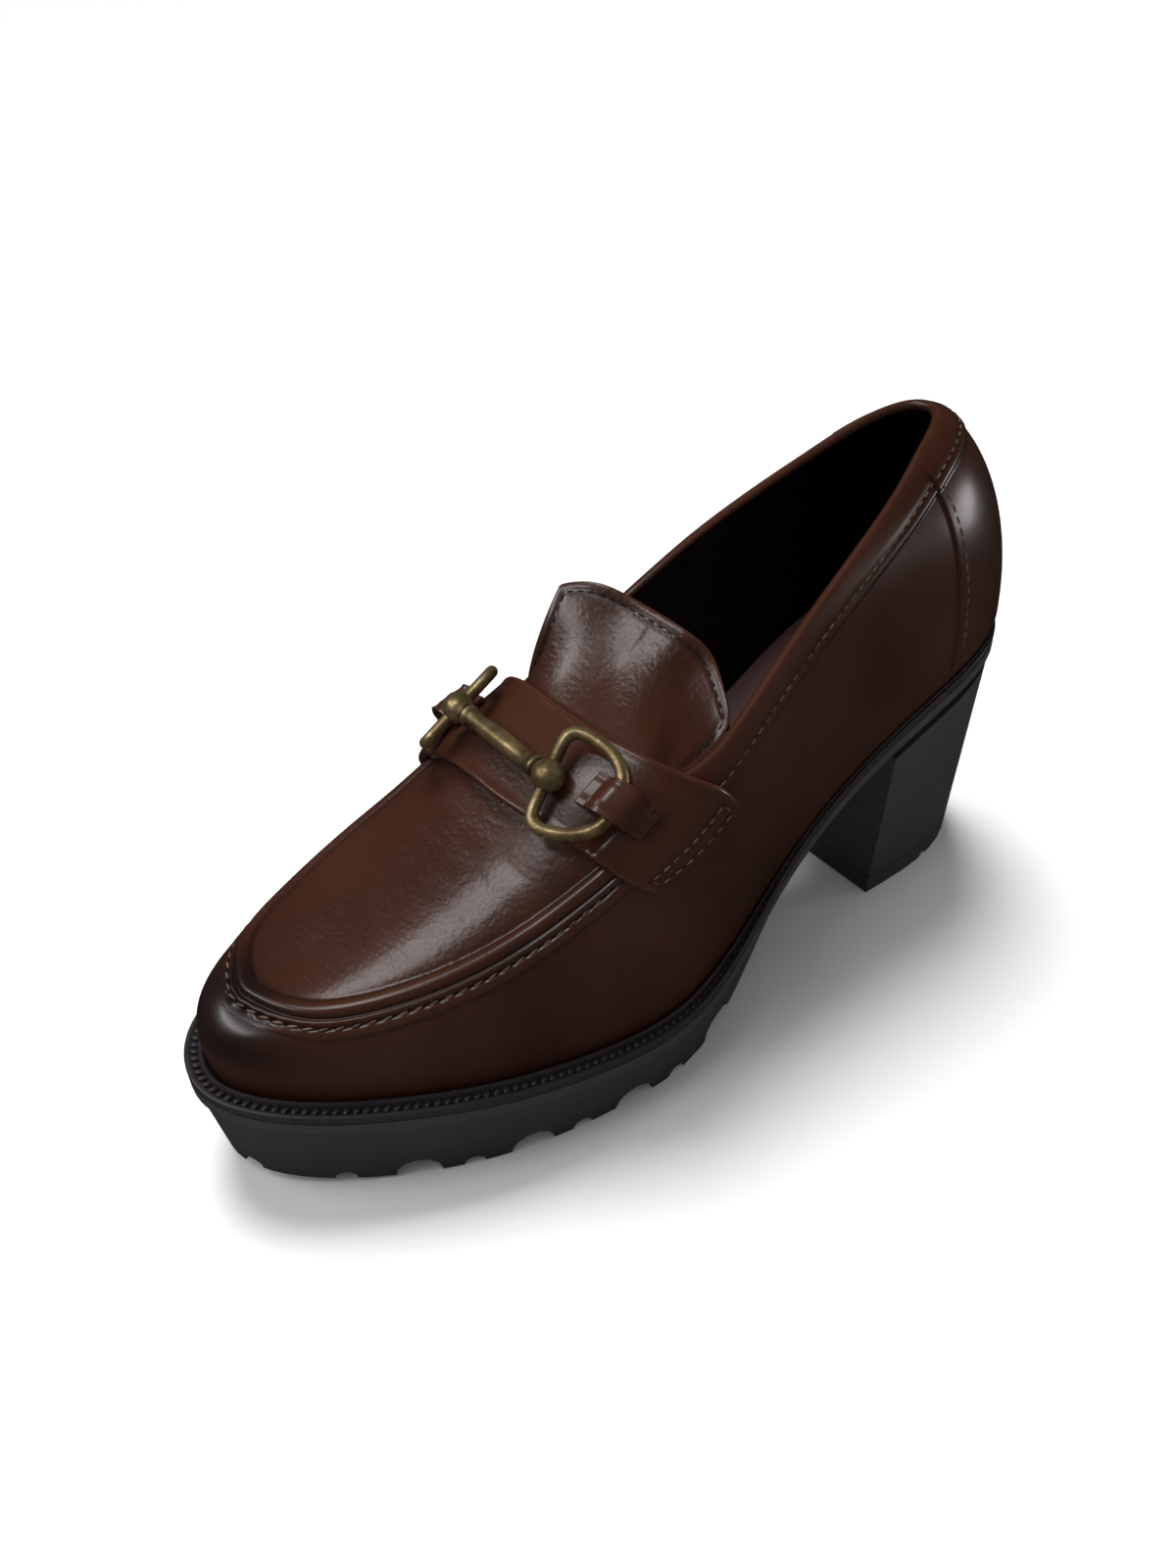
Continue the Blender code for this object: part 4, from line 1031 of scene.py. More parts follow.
    def apron_rows(self, low: Array, high: Array, counter: Array, glow: Array) -> Iterator[Row]:
        """Rows over the apron, or from the seam up to the collar's band."""
        for share in np.linspace(0, 1, 12)[1:-1]:
            yield low + (high - low) * share, counter, 0.35 * glow * (1 - share), 0.0

    def collar_rows(self, end: Array, band: Array, counter: Array, opened: Array) -> Iterator[Row]:
        """Rows over the collar's folded band and its stitched groove."""
        for share, height, dark, bright in self.COLLAR:
            step = counter * (1 - smooth((share - 0.35) / 0.6))
            lift = step + self.collar_step * opened * height
            # dark is painted shade under the band's step and in its stitched groove
            yield end - band * (1 - share), lift, dark * opened, bright * opened

    def rolled_rows(self, t: Array, end: Array, out: Array, opened: Array) -> Iterator[Row]:
        """Rows round the collar's rim to the inside."""
        rim = self.collar_step * opened * 0.75
        middle, half = (rim - LAST.wall) / 2, (rim + LAST.wall) / 2
        free = t < LAST.throat - EPS
        for share in np.linspace(0, 1, 6)[1:]:
            turn = math.pi * share
            lift = np.where(free, middle + half * math.cos(turn), rim)
            yield end + math.sin(turn) * out * free, lift, 0.0, 0.30 * (1 - share) * opened

    def counter_height(self, t: Array) -> Array:
        """How far the heel counter stands off the wall."""
        return self.counter_step * (1 - smooth((t - self.counter) / self.counter_run + 0.5))

    def creases(self, t: Array, side: Array, angle: Array, end: Array) -> Array:
        """Depth of the soft creases at each point."""
        depth = np.zeros_like(angle)
        share = angle / end[:, None]
        for rib, start, stop, on, width, deep in self.CREASES:
            bent = rib + 0.010 * np.sin((share - start) * 5.0)
            near = np.exp(-(((t[:, None] - bent) / width) ** 2))
            ridge = 0.55 * np.exp(-(((t[:, None] - bent - 2.1 * width) / (1.4 * width)) ** 2))
            reach = smooth((share - start) / 0.15) * smooth((stop - share) / 0.12)
            depth += (near - ridge) * reach * deep * MM * (side[:, None] * on > 0)
        return depth

    def crease_mark(self, t: Array, share: Array, seam: Array) -> Array:
        """Where the fine wrinkles lie: on the apron, most before the strap, and faintly on the walls."""
        along = 0.45 + 0.55 * np.exp(-(((t[:, None] - 0.66) / 0.12) ** 2))
        apron = smooth((share - seam[:, None]) / 0.05) * along * smooth((t[:, None] - 0.54) / 0.05)
        wall = 0.15 * np.exp(-(((t[:, None] - 0.60) / 0.10) ** 2)) * (share < seam[:, None])
        return np.clip(apron + wall, 0, 1)

    def lining(self, t: Array, side: Array, rim: Array, foot: Array) -> Object:
        """Inner skin from the rim down to the sole, and the strip under the wall."""
        end = LAST.edge_angle(t, side)
        shares = (0.98, 0.95, 0.9, 0.8, 0.7, 0.6, 0.5, 0.4, 0.3, 0.2, 0.1, 0.0)
        angle = end[:, None] * np.array(shares)
        inner = LAST.place(t[:, None], side[:, None], angle, -LAST.wall)
        ix, iy = LAST.rim(t, side, LAST.ledge(t) + LAST.wall)
        low = LAST.centred(np.stack((ix, iy, LAST.sole_top(ix) + LAST.gap), -1))
        # Beyond the throat the skin starts at the crown and not at the rim's own edge
        crown = LAST.place(t, side, end, -LAST.wall)
        first = np.where((t < LAST.throat - EPS)[:, None], rim, crown)
        points = np.concatenate((first[:, None], inner, low[:, None], foot[:, None]), 1)
        zero = np.zeros(points.shape[:2])
        return grid_piece("upper_lining", points, burnt=zero, worn=zero, creased=zero)

    def stitches(self, finishes: Finishes) -> None:
        """Rows of stitches along the collar, the counter and the apron seam."""
        radius, length, pitch = self.stitch
        parts = []
        both, side = LAST.round_shoe(np.linspace(self.stitches_from, 1.0, 160))
        seam = LAST.seam_angle(both, side)
        angle = seam - self.stitch_line / LAST.stretch(both, side, seam)
        points, normals = LAST.place(both, side, angle, 0.00020), LAST.normal(both, side, angle)
        parts.append(stitch_row(0.00030, 0.0026, points, normals, self.pucker_pitch, 12.0))
        for sign in (1, -1):
            limit = 0.520 if sign > 0 else 0.530
            t = np.linspace(0.0, limit, 160)
            sides = np.full(160, float(sign))
            end = LAST.edge_angle(t, sides)
            angle = end - self.collar_band * 0.72 / LAST.stretch(t, sides, end - self.near_rim)
            points = LAST.place(t, sides, angle, self.counter_height(t) + self.collar_step * 0.78)
            normals = LAST.normal(t, sides, angle)
            parts.append(stitch_row(radius, length, points, normals, pitch))
            rim = LAST.edge_angle(np.array([self.counter]), np.array([sign]))[0]
            angle = np.linspace(0.10, 1.0, 80) * rim * 0.84
            t = np.full(80, self.counter - 0.0095)
            points = LAST.place(t, float(sign), angle, self.counter_step + 0.00005)
            normals = LAST.normal(t, float(sign), angle)
            parts.append(stitch_row(radius, length, points, normals, pitch))
        dressed(joined("upper_stitches", parts), finishes.thread, Slot.LEATHER)


# Strap, tongue, bit


@dataclass
class SaddleStrap:
    """Band over the instep with folded edges and slanted, stitched ends."""

    thick: float = 0.0022
    bed: float = 0.0005
    arch_lift: float = 0.0009
    end_angle: float = 28.0
    end_slant: float = 3.2
    crown_rib: float = 0.578
    left_rib: float = 0.5265
    right_rib: float = 0.5640
    crown_half: float = 0.0305
    end_half: float = 0.0360
    stitch_rows: tuple[float, float] = (0.885, 0.955)
    stitch_reach: float = 0.80
    groove: float = 0.10
    # Darkness painted into the sunken stitched grooves as shade
    groove_dark: float = 0.55
    seam_lift: float = 0.0014
    seam_spread: float = 9.4
    # Half of the section: share across from the front edge to the middle, share of the thickness, wear
    SECTION = (
        (1.000, 0.00, 0.0), (1.006, 0.35, 0.1), (1.000, 0.70, 0.3), (0.975, 0.93, 0.3), (0.935, 1.02, 0.2),
        (0.880, 0.99, 0.0), (0.820, 0.90, 0.0), (0.740, 0.90, 0.0), (0.500, 0.94, 0.0), (0.250, 0.97, 0.0),
        (0.000, 0.98, 0.0),
    )

    def where(self, turn: Array) -> tuple[Array, Array, Array, Array]:
        """Side, angle, middle rib and half width at a turn from -1 to 1."""
        angle = np.radians(90 - np.abs(turn) * (90 - self.end_angle))
        end = np.where(turn > 0, self.left_rib, self.right_rib)
        bent = np.abs(turn) ** 1.5
        middle = self.crown_rib - (self.crown_rib - end) * bent
        half = self.crown_half + (self.end_half - self.crown_half) * bent
        return np.where(turn >= 0, 1.0, -1.0), angle, middle, half

    def relief(self, t: Array, angle: Array) -> Array:
        """Height of the apron seam under the strap."""
        shown = smooth((t - 0.560) / 0.030)
        near = 1 - np.abs(angle - np.radians(LAST.seam_line(t))) / math.radians(self.seam_spread)
        return self.seam_lift * shown * smooth(near * 3)

    def frame(self, turn: Array, across: Array, lift: Array | float) -> tuple[Array, Array]:
        """Point and outward direction over the strap's bed."""
        turn, across = np.broadcast_arrays(np.asarray(turn, float), np.asarray(across, float))
        side, angle, middle, half = self.where(turn)
        angle = angle + math.radians(self.end_slant) * across * smooth((np.abs(turn) - 0.8) / 0.2)
        t = middle + half * across
        bed = self.bed + self.arch_lift * (1 - smooth(np.abs(turn) * 1.3)) + self.relief(t, angle)
        return LAST.place(t, side, angle, lift + bed), LAST.normal(t, side, angle)

    def point(self, turn: float, across: float, lift: float) -> Array:
        """One point over the strap's bed, from the heel's back."""
        return self.frame(np.array(turn), np.array(across), lift)[0] + np.array((LAST.length / 2, 0, 0))

    def build(self, finishes: Finishes) -> None:
        """Make the strap and its stitches."""
        top = [(-across, height, wear) for across, height, wear in self.SECTION]
        top += self.SECTION[-2::-1]
        section = top + [(across, 0.0, 0.0) for across in (0.5, 0.0, -0.5, -1.0)]
        inner = np.linspace(-0.985, 0.985, 121)
        turns = np.concatenate(([-1.0, -0.9985, -0.994], inner, [0.994, 0.9985, 1.0]))
        edge = np.clip((1 - np.abs(turns)) / 0.015, 0, 1)
        height = np.sqrt(1 - (1 - edge) ** 2)
        across, lifts, worn = np.array(section).T
        stitched = sum(np.exp(-(((np.abs(turns) - row) / 0.010) ** 2)) for row in self.stitch_rows)
        sewn = stitched[:, None] * (np.abs(across) < 0.83) * (lifts > 0.8)
        lift = self.thick * (lifts * height[:, None] - self.groove * sewn)
        points, _ = self.frame(turns[:, None], across[None], lift)
        wear = np.broadcast_to(worn, lift.shape) + 0.25 * (edge < 0.6)[:, None]
        creased = np.broadcast_to(np.exp(-((turns / 0.45) ** 2))[:, None], lift.shape) * 0.6
        # The sewn grooves get painted shade through the burnish-and-shade mark
        marks = {"worn": wear, "burnt": self.groove_dark * sewn, "creased": creased}
        closed_piece("strap_band", points, 60, finishes.leather, Slot.LEATHER, "saddle_strap", **marks)
        (near, far), reach = self.stitch_rows, self.stitch_reach
        corners = ((far, -reach), (far, reach), (near, reach), (near, -reach), (far, -reach))
        parts = []
        for sign in (1, -1):
            for start, end in zip(corners, corners[1:]):
                turn, across = np.linspace(start, end, 40).T
                place, normal = self.frame(turn * sign, across, self.thick * 0.94)
                parts.append(stitch_row(0.00026, 0.0021, place, normal, 0.0029))
        dressed(joined("strap_stitches", parts), finishes.thread, Slot.LEATHER)


@dataclass
class Tongue:
    """Tongue from its root under the strap to its flared, rolled edge."""

    reach: float = 0.040
    root: float = 0.012
    thick: float = 0.0020
    tuck: float = 0.0020
    left_spread: float = 40.0
    right_spread: float = 35.0
    corner_left: float = 0.22
    corner_right: float = 0.04
    stitch_inset: float = 0.0026
    stitch_pitch: float = 0.0026
    roll: float = 0.00014
    roll_inset: float = 0.0011
    groove: float = 0.00022
    groove_half: float = 0.0005
    FOLDS = (
        # across, edge back, edge side, edge up, mid back, mid side, mid up
        (-1.00, 0.525, -0.550, 0.580, 0.290, -0.520, 0.240),
        (-0.66, 0.638, -0.350, 0.608, 0.350, -0.390, 0.278),
        (-0.33, 0.740, -0.175, 0.553, 0.415, -0.200, 0.278),
        (0.00, 0.810, 0.000, 0.498, 0.463, 0.012, 0.258), (0.33, 0.868, 0.200, 0.440, 0.533, 0.225, 0.225),
        (0.66, 0.917, 0.375, 0.328, 0.625, 0.412, 0.140), (1.00, 0.850, 0.625, 0.182, 0.675, 0.675, 0.000),
    )

    def bed(self, strap: SaddleStrap, across: Array, share: Array) -> Array:
        """Outer face of the hidden root, from the heel's back."""
        side = np.where(across >= 0, 1.0, -1.0)
        spread = np.where(side > 0, self.left_spread, self.right_spread)
        angle = QUARTER - np.abs(across) * np.radians(spread)
        turn = across * spread / (90 - strap.end_angle)
        _, _, middle, half = strap.where(turn)
        rear = middle - half
        front = np.maximum(LAST.throat, rear) + self.root
        t = front + (rear - front) * share
        free = smooth((np.degrees(angle - LAST.edge_angle(t, side)) - 6) / 10)
        free = free * smooth((LAST.throat - t) / self.root - 0.5)
        depth = (LAST.wall + self.tuck) * (1 - free) + 2 * LAST.gap * free
        return LAST.arch(t, side, angle) - LAST.normal(t, side, angle) * depth[..., None]

    def fold(self, across: Array, first: int) -> Array:
        """Points of one fold, from three columns of the table."""
        throat = LAST.arch(LAST.throat, 1.0, QUARTER)
        back, aside, rise = (Curve(self.FOLDS, first + k)(across) * self.reach for k in range(3))
        return throat + np.stack((-back, aside, rise), -1)

    def net(self, strap: SaddleStrap, across: Array, along: Array) -> Array:
        """Outer face at places across, and at 0 (root) to 1 (rear of the strap) to 2 (edge)."""
        hidden = self.bed(strap, across, np.clip(along, 0, 1))
        root = self.bed(strap, across, np.ones_like(along))
        mid, edge = self.fold(across, 4), self.fold(across, 1)
        k = np.clip(along - 1, 0, None)[..., None]
        free = root * (1 - k) * (1 - 2 * k) + mid * 4 * k * (1 - k) + edge * k * (2 * k - 1)
        return np.where((along > 1)[..., None], free, hidden)

    def build(self, strap: SaddleStrap, finishes: Finishes) -> None:
        """Make the sheet, its rolled edge and its stitches."""
        across = np.linspace(-1, 1, 81)
        share = np.concatenate((np.linspace(0, 1, 10)[:-1], 1 + np.linspace(0, 1, 48)))
        a, s = np.meshgrid(across, share, indexing="ij")
        corner = 1 - np.sqrt(1 - np.clip(2 * np.abs(a) - 1, 0, 1) ** 2)
        corner = corner * np.where(a > 0, self.corner_left, self.corner_right)
        s = np.where(s > 1, 1 + (s - 1) * (1 - corner), s)
        points = self.net(strap, a, s)
        normal = unit(np.cross(np.gradient(points, axis=0), np.gradient(points, axis=1)))
        normal *= np.sign(normal[40, 20, 2])
        edge_run = np.linalg.norm(points - points[:, -1:], axis=-1)
        side_run = np.minimum(
            np.linalg.norm(points - points[:1], axis=-1), np.linalg.norm(points - points[-1:], axis=-1)
        )
        near = np.minimum(edge_run, np.where(s > 1.05, side_run, 1.0))
        free = smooth((s - 1.0) / 0.15)
        line = np.exp(-(((near - self.stitch_inset) / self.groove_half) ** 2))
        rolled = self.roll * np.exp(-(((near - self.roll_inset) / 0.0009) ** 2)) - self.groove * line
        points = points + normal * (rolled * free)[..., None]
        creased = np.exp(-((a / 0.8) ** 4)) * smooth((s - 1.02) / 0.2)
        # Painted shade along the sunken stitched groove
        dark = 0.85 * line * free
        worn = 0.25 * np.exp(-((near / 0.0010) ** 2)) * free
        sheet = grid_piece("tongue_sheet", LAST.centred(points), creased=creased, burnt=dark, worn=worn)
        self.orient(sheet)
        sheet.data.materials.append(finishes.leather)
        sheet.data.materials.append(finishes.lining)
        modify(sheet, "SOLIDIFY", thickness=self.thick, offset=-1.0, material_offset=1, material_offset_rim=0)
        modify(sheet, "BEVEL", width=0.0007, segments=3, limit_method="ANGLE", angle_limit=math.radians(50))
        soften(sheet, 50)
        dressed(sheet, None, Slot.LEATHER, "tongue")
        places = frames_along(*self.edge_line(points, normal, s), self.stitch_pitch)
        dressed(copies("tongue_stitches", bead(0.00024, 0.0019), places), finishes.dark_thread, Slot.LEATHER)

    def edge_line(self, points: Array, normal: Array, s: Array) -> tuple[Array, Array]:
        """Stitched line at an even distance inside the free edge.

        Args:
            points: net of the outer face.
            normal: its outward directions.
            s: share along the tongue at each point.

        Returns:
            Points of the line in the shoe's own frame, and their directions.
        """
        columns, rows = points.shape[:2]

        def inset(net: Array) -> Array:
            """Place along each line of a net where the line is far enough from its start."""
            run = np.linalg.norm(net - net[:1], axis=-1)[:20]
            return np.array([np.interp(self.stitch_inset, column, np.arange(20)) for column in run.T])

        left, right = inset(points), columns - 1 - inset(points[::-1])
        top = rows - 1 - inset(points.swapaxes(0, 1)[::-1])
        free = int(np.argmax(s[0] > 1.12))
        path = [(left[j], j) for j in range(free, rows) if j < top[int(left[j])]]
        path += [(i, top[i]) for i in range(columns) if left[int(top[i])] < i < right[int(top[i])]]
        path += [(right[j], j) for j in range(rows - 1, free, -1) if j < top[int(right[j]) + 1]]
        i, j = np.array(path).T
        i0, j0 = np.minimum(i.astype(int), columns - 2), np.minimum(j.astype(int), rows - 2)
        u, v = (i - i0)[:, None], (j - j0)[:, None]

        def between(net: Array) -> Array:
            """Values of a net between its points."""
            near = net[i0, j0] * (1 - u) + net[i0 + 1, j0] * u
            far = net[i0, j0 + 1] * (1 - u) + net[i0 + 1, j0 + 1] * u
            return near * (1 - v) + far * v

        return LAST.centred(between(points)), between(normal)

    def orient(self, sheet: Object) -> None:
        """Turn the sheet's outer face upwards before it gets its thickness."""
        middle = sheet.data.polygons[len(sheet.data.polygons) // 2]
        if middle.normal.z < 0:
            sheet.data.flip_normals()


@dataclass
class Bit:
    """Snaffle bit of a round bar with ball ends and two plain D rings, held by leather keepers."""

    bar: float = 0.0021
    ball: float = 0.0038
    length: float = 0.0345
    turn: float = 2.0
    aside: float = -0.0030
    forward: float = 0.0020
    lift: float = 0.0031
    wire: float = 0.0015
    half: float = 0.0116
    left_turn: float = 0.47
    right_turn: float = 0.58
    keeper_width: float = 0.0085
    keeper_tail: float = 0.0080
    keeper_heel: float = 0.0043
    keeper: float = 0.0012
    keeper_rows: tuple[float, float] = (0.0062, 0.0072)
    slack: float = 0.0010
    strap: SaddleStrap = field(default_factory=SaddleStrap)

    def bar_frame(self) -> tuple[Array, Array, Array]:
        """Middle of the bar, direction along it and down the strap."""
        turn = math.radians(self.turn)
        along = np.array((-math.sin(turn), math.cos(turn), 0.0))
        strap = self.strap
        crown = strap.point(0.0, 0.0, strap.thick)
        fall = unit(strap.point(0.0, 1.0, strap.thick) - strap.point(0.0, -1.0, strap.thick))
        fall = unit(fall - along * (fall @ along))
        up = np.cross(fall, along)
        return crown + up * self.lift + along * self.aside + fall * self.forward, along, fall

    def bow(self, side: int) -> float:
        """Place of a ring's bow along the strap."""
        return self.left_turn if side > 0 else self.right_turn

    def ring_frame(self, side: int) -> tuple[Array, Array, float, Array]:
        """Middle of a ring's straight side, direction and length to its bow, direction of its side."""
        place, along, fall = self.bar_frame()
        start = place + along * side * self.length / 2
        lift = self.strap.thick + 2 * LAST.gap + self.wire
        out = self.strap.point(self.bow(side) * side, 0.0, lift) - start
        reach = float(np.linalg.norm(out))
        out = out / reach
        return start, out, reach, unit(fall - out * (fall @ out))

    def build(self, finishes: Finishes) -> None:
        """Make the bar, the rings and the keepers."""
        self.build_bar(finishes)
        for side, tag in ((1, "left"), (-1, "right")):
            self.build_ring(side, tag, finishes)
            self.build_keeper(side, tag, finishes)

    def build_bar(self, finishes: Finishes) -> None:
        """Cast bar: balls with a collar each and a shank that swells at its middle."""
        place, along, _ = self.bar_frame()
        half = self.length / 2
        turns = np.radians(np.linspace(180, 40, 15))
        rows = [(-half + math.cos(a) * self.ball, math.sin(a) * self.ball, 0.0) for a in turns]
        neck = rows[-1][0]
        rows += [
            (neck + 0.0004, self.bar * 1.08, 0.9),
            (neck + 0.0008, self.bar * 1.00, 0.8),
            (neck + 0.0012, self.bar * 1.22, 0.1),
            (neck + 0.0019, self.bar * 1.24, 0.0),
            (neck + 0.0024, self.bar * 1.02, 0.6),
            (-half * 0.45, self.bar * 0.98, 0.1),
            (-half * 0.2, self.bar * 1.06, 0.0),
            (0.0, self.bar * 1.12, 0.0),
        ]
        rows += [(-x, r, d) for x, r, d in rows[-2::-1]]
        profile = np.array(rows)
        angles = np.linspace(0, 2 * math.pi, 33)
        side = unit(np.cross(along, np.array((0.0, 0.0, 1.0))))
        up = np.cross(side, along)
        ring = np.cos(angles)[:, None] * side + np.sin(angles)[:, None] * up
        points = place + profile[:, None, :1] * along + profile[:, None, 1:2] * ring[None]
        deep = np.broadcast_to(profile[:, 2:3], points.shape[:2])
        points = LAST.centred(points)
        closed_piece("snaffle_bar", points, 60, finishes.brass, Slot.BRASS, "bit_bar", deep=deep)

    def build_ring(self, side: int, tag: str, finishes: Finishes) -> None:
        """Plain closed D ring of round wire."""
        start, out, reach, down = self.ring_frame(side)
        line = [start + down * self.half * 0.86 * k / 6 for k in range(-6, 7)]
        for i in range(1, 48):
            angle = math.pi * (0.5 - i / 48)
            wide = math.copysign(abs(math.sin(angle)) ** 0.8, angle)
            line.append(start + down * self.half * wide + out * reach * math.cos(angle) ** 0.8)
        line = self.rounded(np.array(line))
        ahead = unit(np.gradient(line, axis=0))
        ahead[0] = ahead[-1] = unit(line[1] - line[-2])
        up = unit(np.cross(out, down))
        aside = unit(np.cross(ahead, up))
        angles = np.linspace(0, 2 * math.pi, 19)
        wire = aside[:, None] * np.cos(angles)[None, :, None] + up * np.sin(angles)[None, :, None]
        points = line[:, None] + wire * self.wire
        near = np.exp(-((np.linalg.norm(line - start, axis=1) / 0.0045) ** 2))
        deep = np.repeat(near[:, None], len(angles), 1) * 0.7
        name, node, points = f"snaffle_ring_{tag}", f"bit_ring_{tag}", LAST.centred(points)
        closed_piece(name, points, 60, finishes.brass, Slot.BRASS, node, deep=deep)

    def rounded(self, corners: Array, count: int = 120, spread: int = 4) -> Array:
        """Closed line at even distances with its corners rounded."""
        closed = np.concatenate((corners, corners[:1]))
        run = run_along(closed)
        even = along_line(np.linspace(0, run[-1], count, endpoint=False), run, closed)
        shares = np.exp(-((np.arange(-2 * spread, 2 * spread + 1) / spread) ** 2))
        shares /= shares.sum()
        soft = sum(share * np.roll(even, k - 2 * spread, axis=0) for k, share in enumerate(shares))
        return np.concatenate((soft, soft[:1]))

    def build_keeper(self, side: int, tag: str, finishes: Finishes) -> None:
        """Leather tab that humps over the ring's bow, stitched down at its end."""
        over = 2 * self.wire + self.slack
        back, front = -2.0 * self.wire, 1.5 * self.wire
        line = (
            # along the strap from the bow, height
            (-self.keeper_heel - 2 * self.keeper, 0.0),
            (back - 0.0016, 0.0),
            (back - 0.0010, 0.12),
            (back - 0.0004, 0.55),
            (back + 0.0004, 0.92),
            (back + 0.0012, 1.0),
            (front - 0.0012, 1.0),
            (front - 0.0002, 0.93),
            (front + 0.0007, 0.60),
            (front + 0.0014, 0.18),
            (front + 0.0021, 0.02),
            (front + 0.0030, 0.0),
            (self.keeper_tail, 0.0),
        )
        bow, step = self.bow(side), 0.01
        strap = self.strap
        run = strap.point((bow + step) * side, 0, 0) - strap.point((bow - step) * side, 0, 0)
        wide = strap.point(bow * side, 1, 0) - strap.point(bow * side, -1, 0)
        wire = self.ring_frame(side)[3]
        skew = (wire @ unit(run)) / (wire @ unit(wide))
        at = np.linspace(0, len(line) - 1, 49)
        along, height = (np.interp(at, range(len(line)), column) for column in zip(*line))
        height = height * over
        share = np.linspace(-1, 1, 13)

        def turned(ahead: Array | float, aside: Array) -> Array:
            """Turn on the strap at a distance from the bow and a share of the tab's half width."""
            skewed = ahead + self.keeper_width / 2 * aside * skew
            return (bow + skewed / np.linalg.norm(run) * 2 * step) * side

        turn = turned(along[:, None], share)
        across = np.broadcast_to(self.keeper_width / np.linalg.norm(wide) * share, turn.shape)
        bed = strap.thick + 2 * LAST.gap + self.keeper
        points, normals = strap.frame(turn, across, bed + height[:, None] + np.zeros_like(turn))
        dip = 1 - 0.25 * np.exp(-(((np.abs(share) - 0.75) / 0.12) ** 2))
        points = points + normals * (self.keeper * (dip - 1))[None, :, None]
        zero = np.zeros(turn.shape)
        worn = np.broadcast_to(0.35 * (height / over)[:, None], turn.shape)
        tab = grid_piece(f"keeper_tab_{tag}", points, worn=worn, burnt=zero, creased=zero)
        if tab.data.polygons[300].normal @ Vector(normals[24, 6]) < 0:
            tab.data.flip_normals()
        modify(tab, "SOLIDIFY", thickness=self.keeper * 0.92, offset=-1.0)
        modify(tab, "BEVEL", width=0.0004, segments=2, limit_method="ANGLE", angle_limit=math.radians(50))
        soften(tab, 50)
        dressed(tab, finishes.leather, Slot.LEATHER, f"keeper_{tag}")
        parts = []
        for spot in self.keeper_rows:
            place, normal = strap.frame(turned(spot, 0.85 * share), across[0] * 0.85, bed)
            parts.append(stitch_row(0.00026, 0.0018, place, normal, 0.0024))
        dressed(joined(f"keeper_stitches_{tag}", parts), finishes.dark_thread, Slot.LEATHER)


# Sole, welt, heel and insole


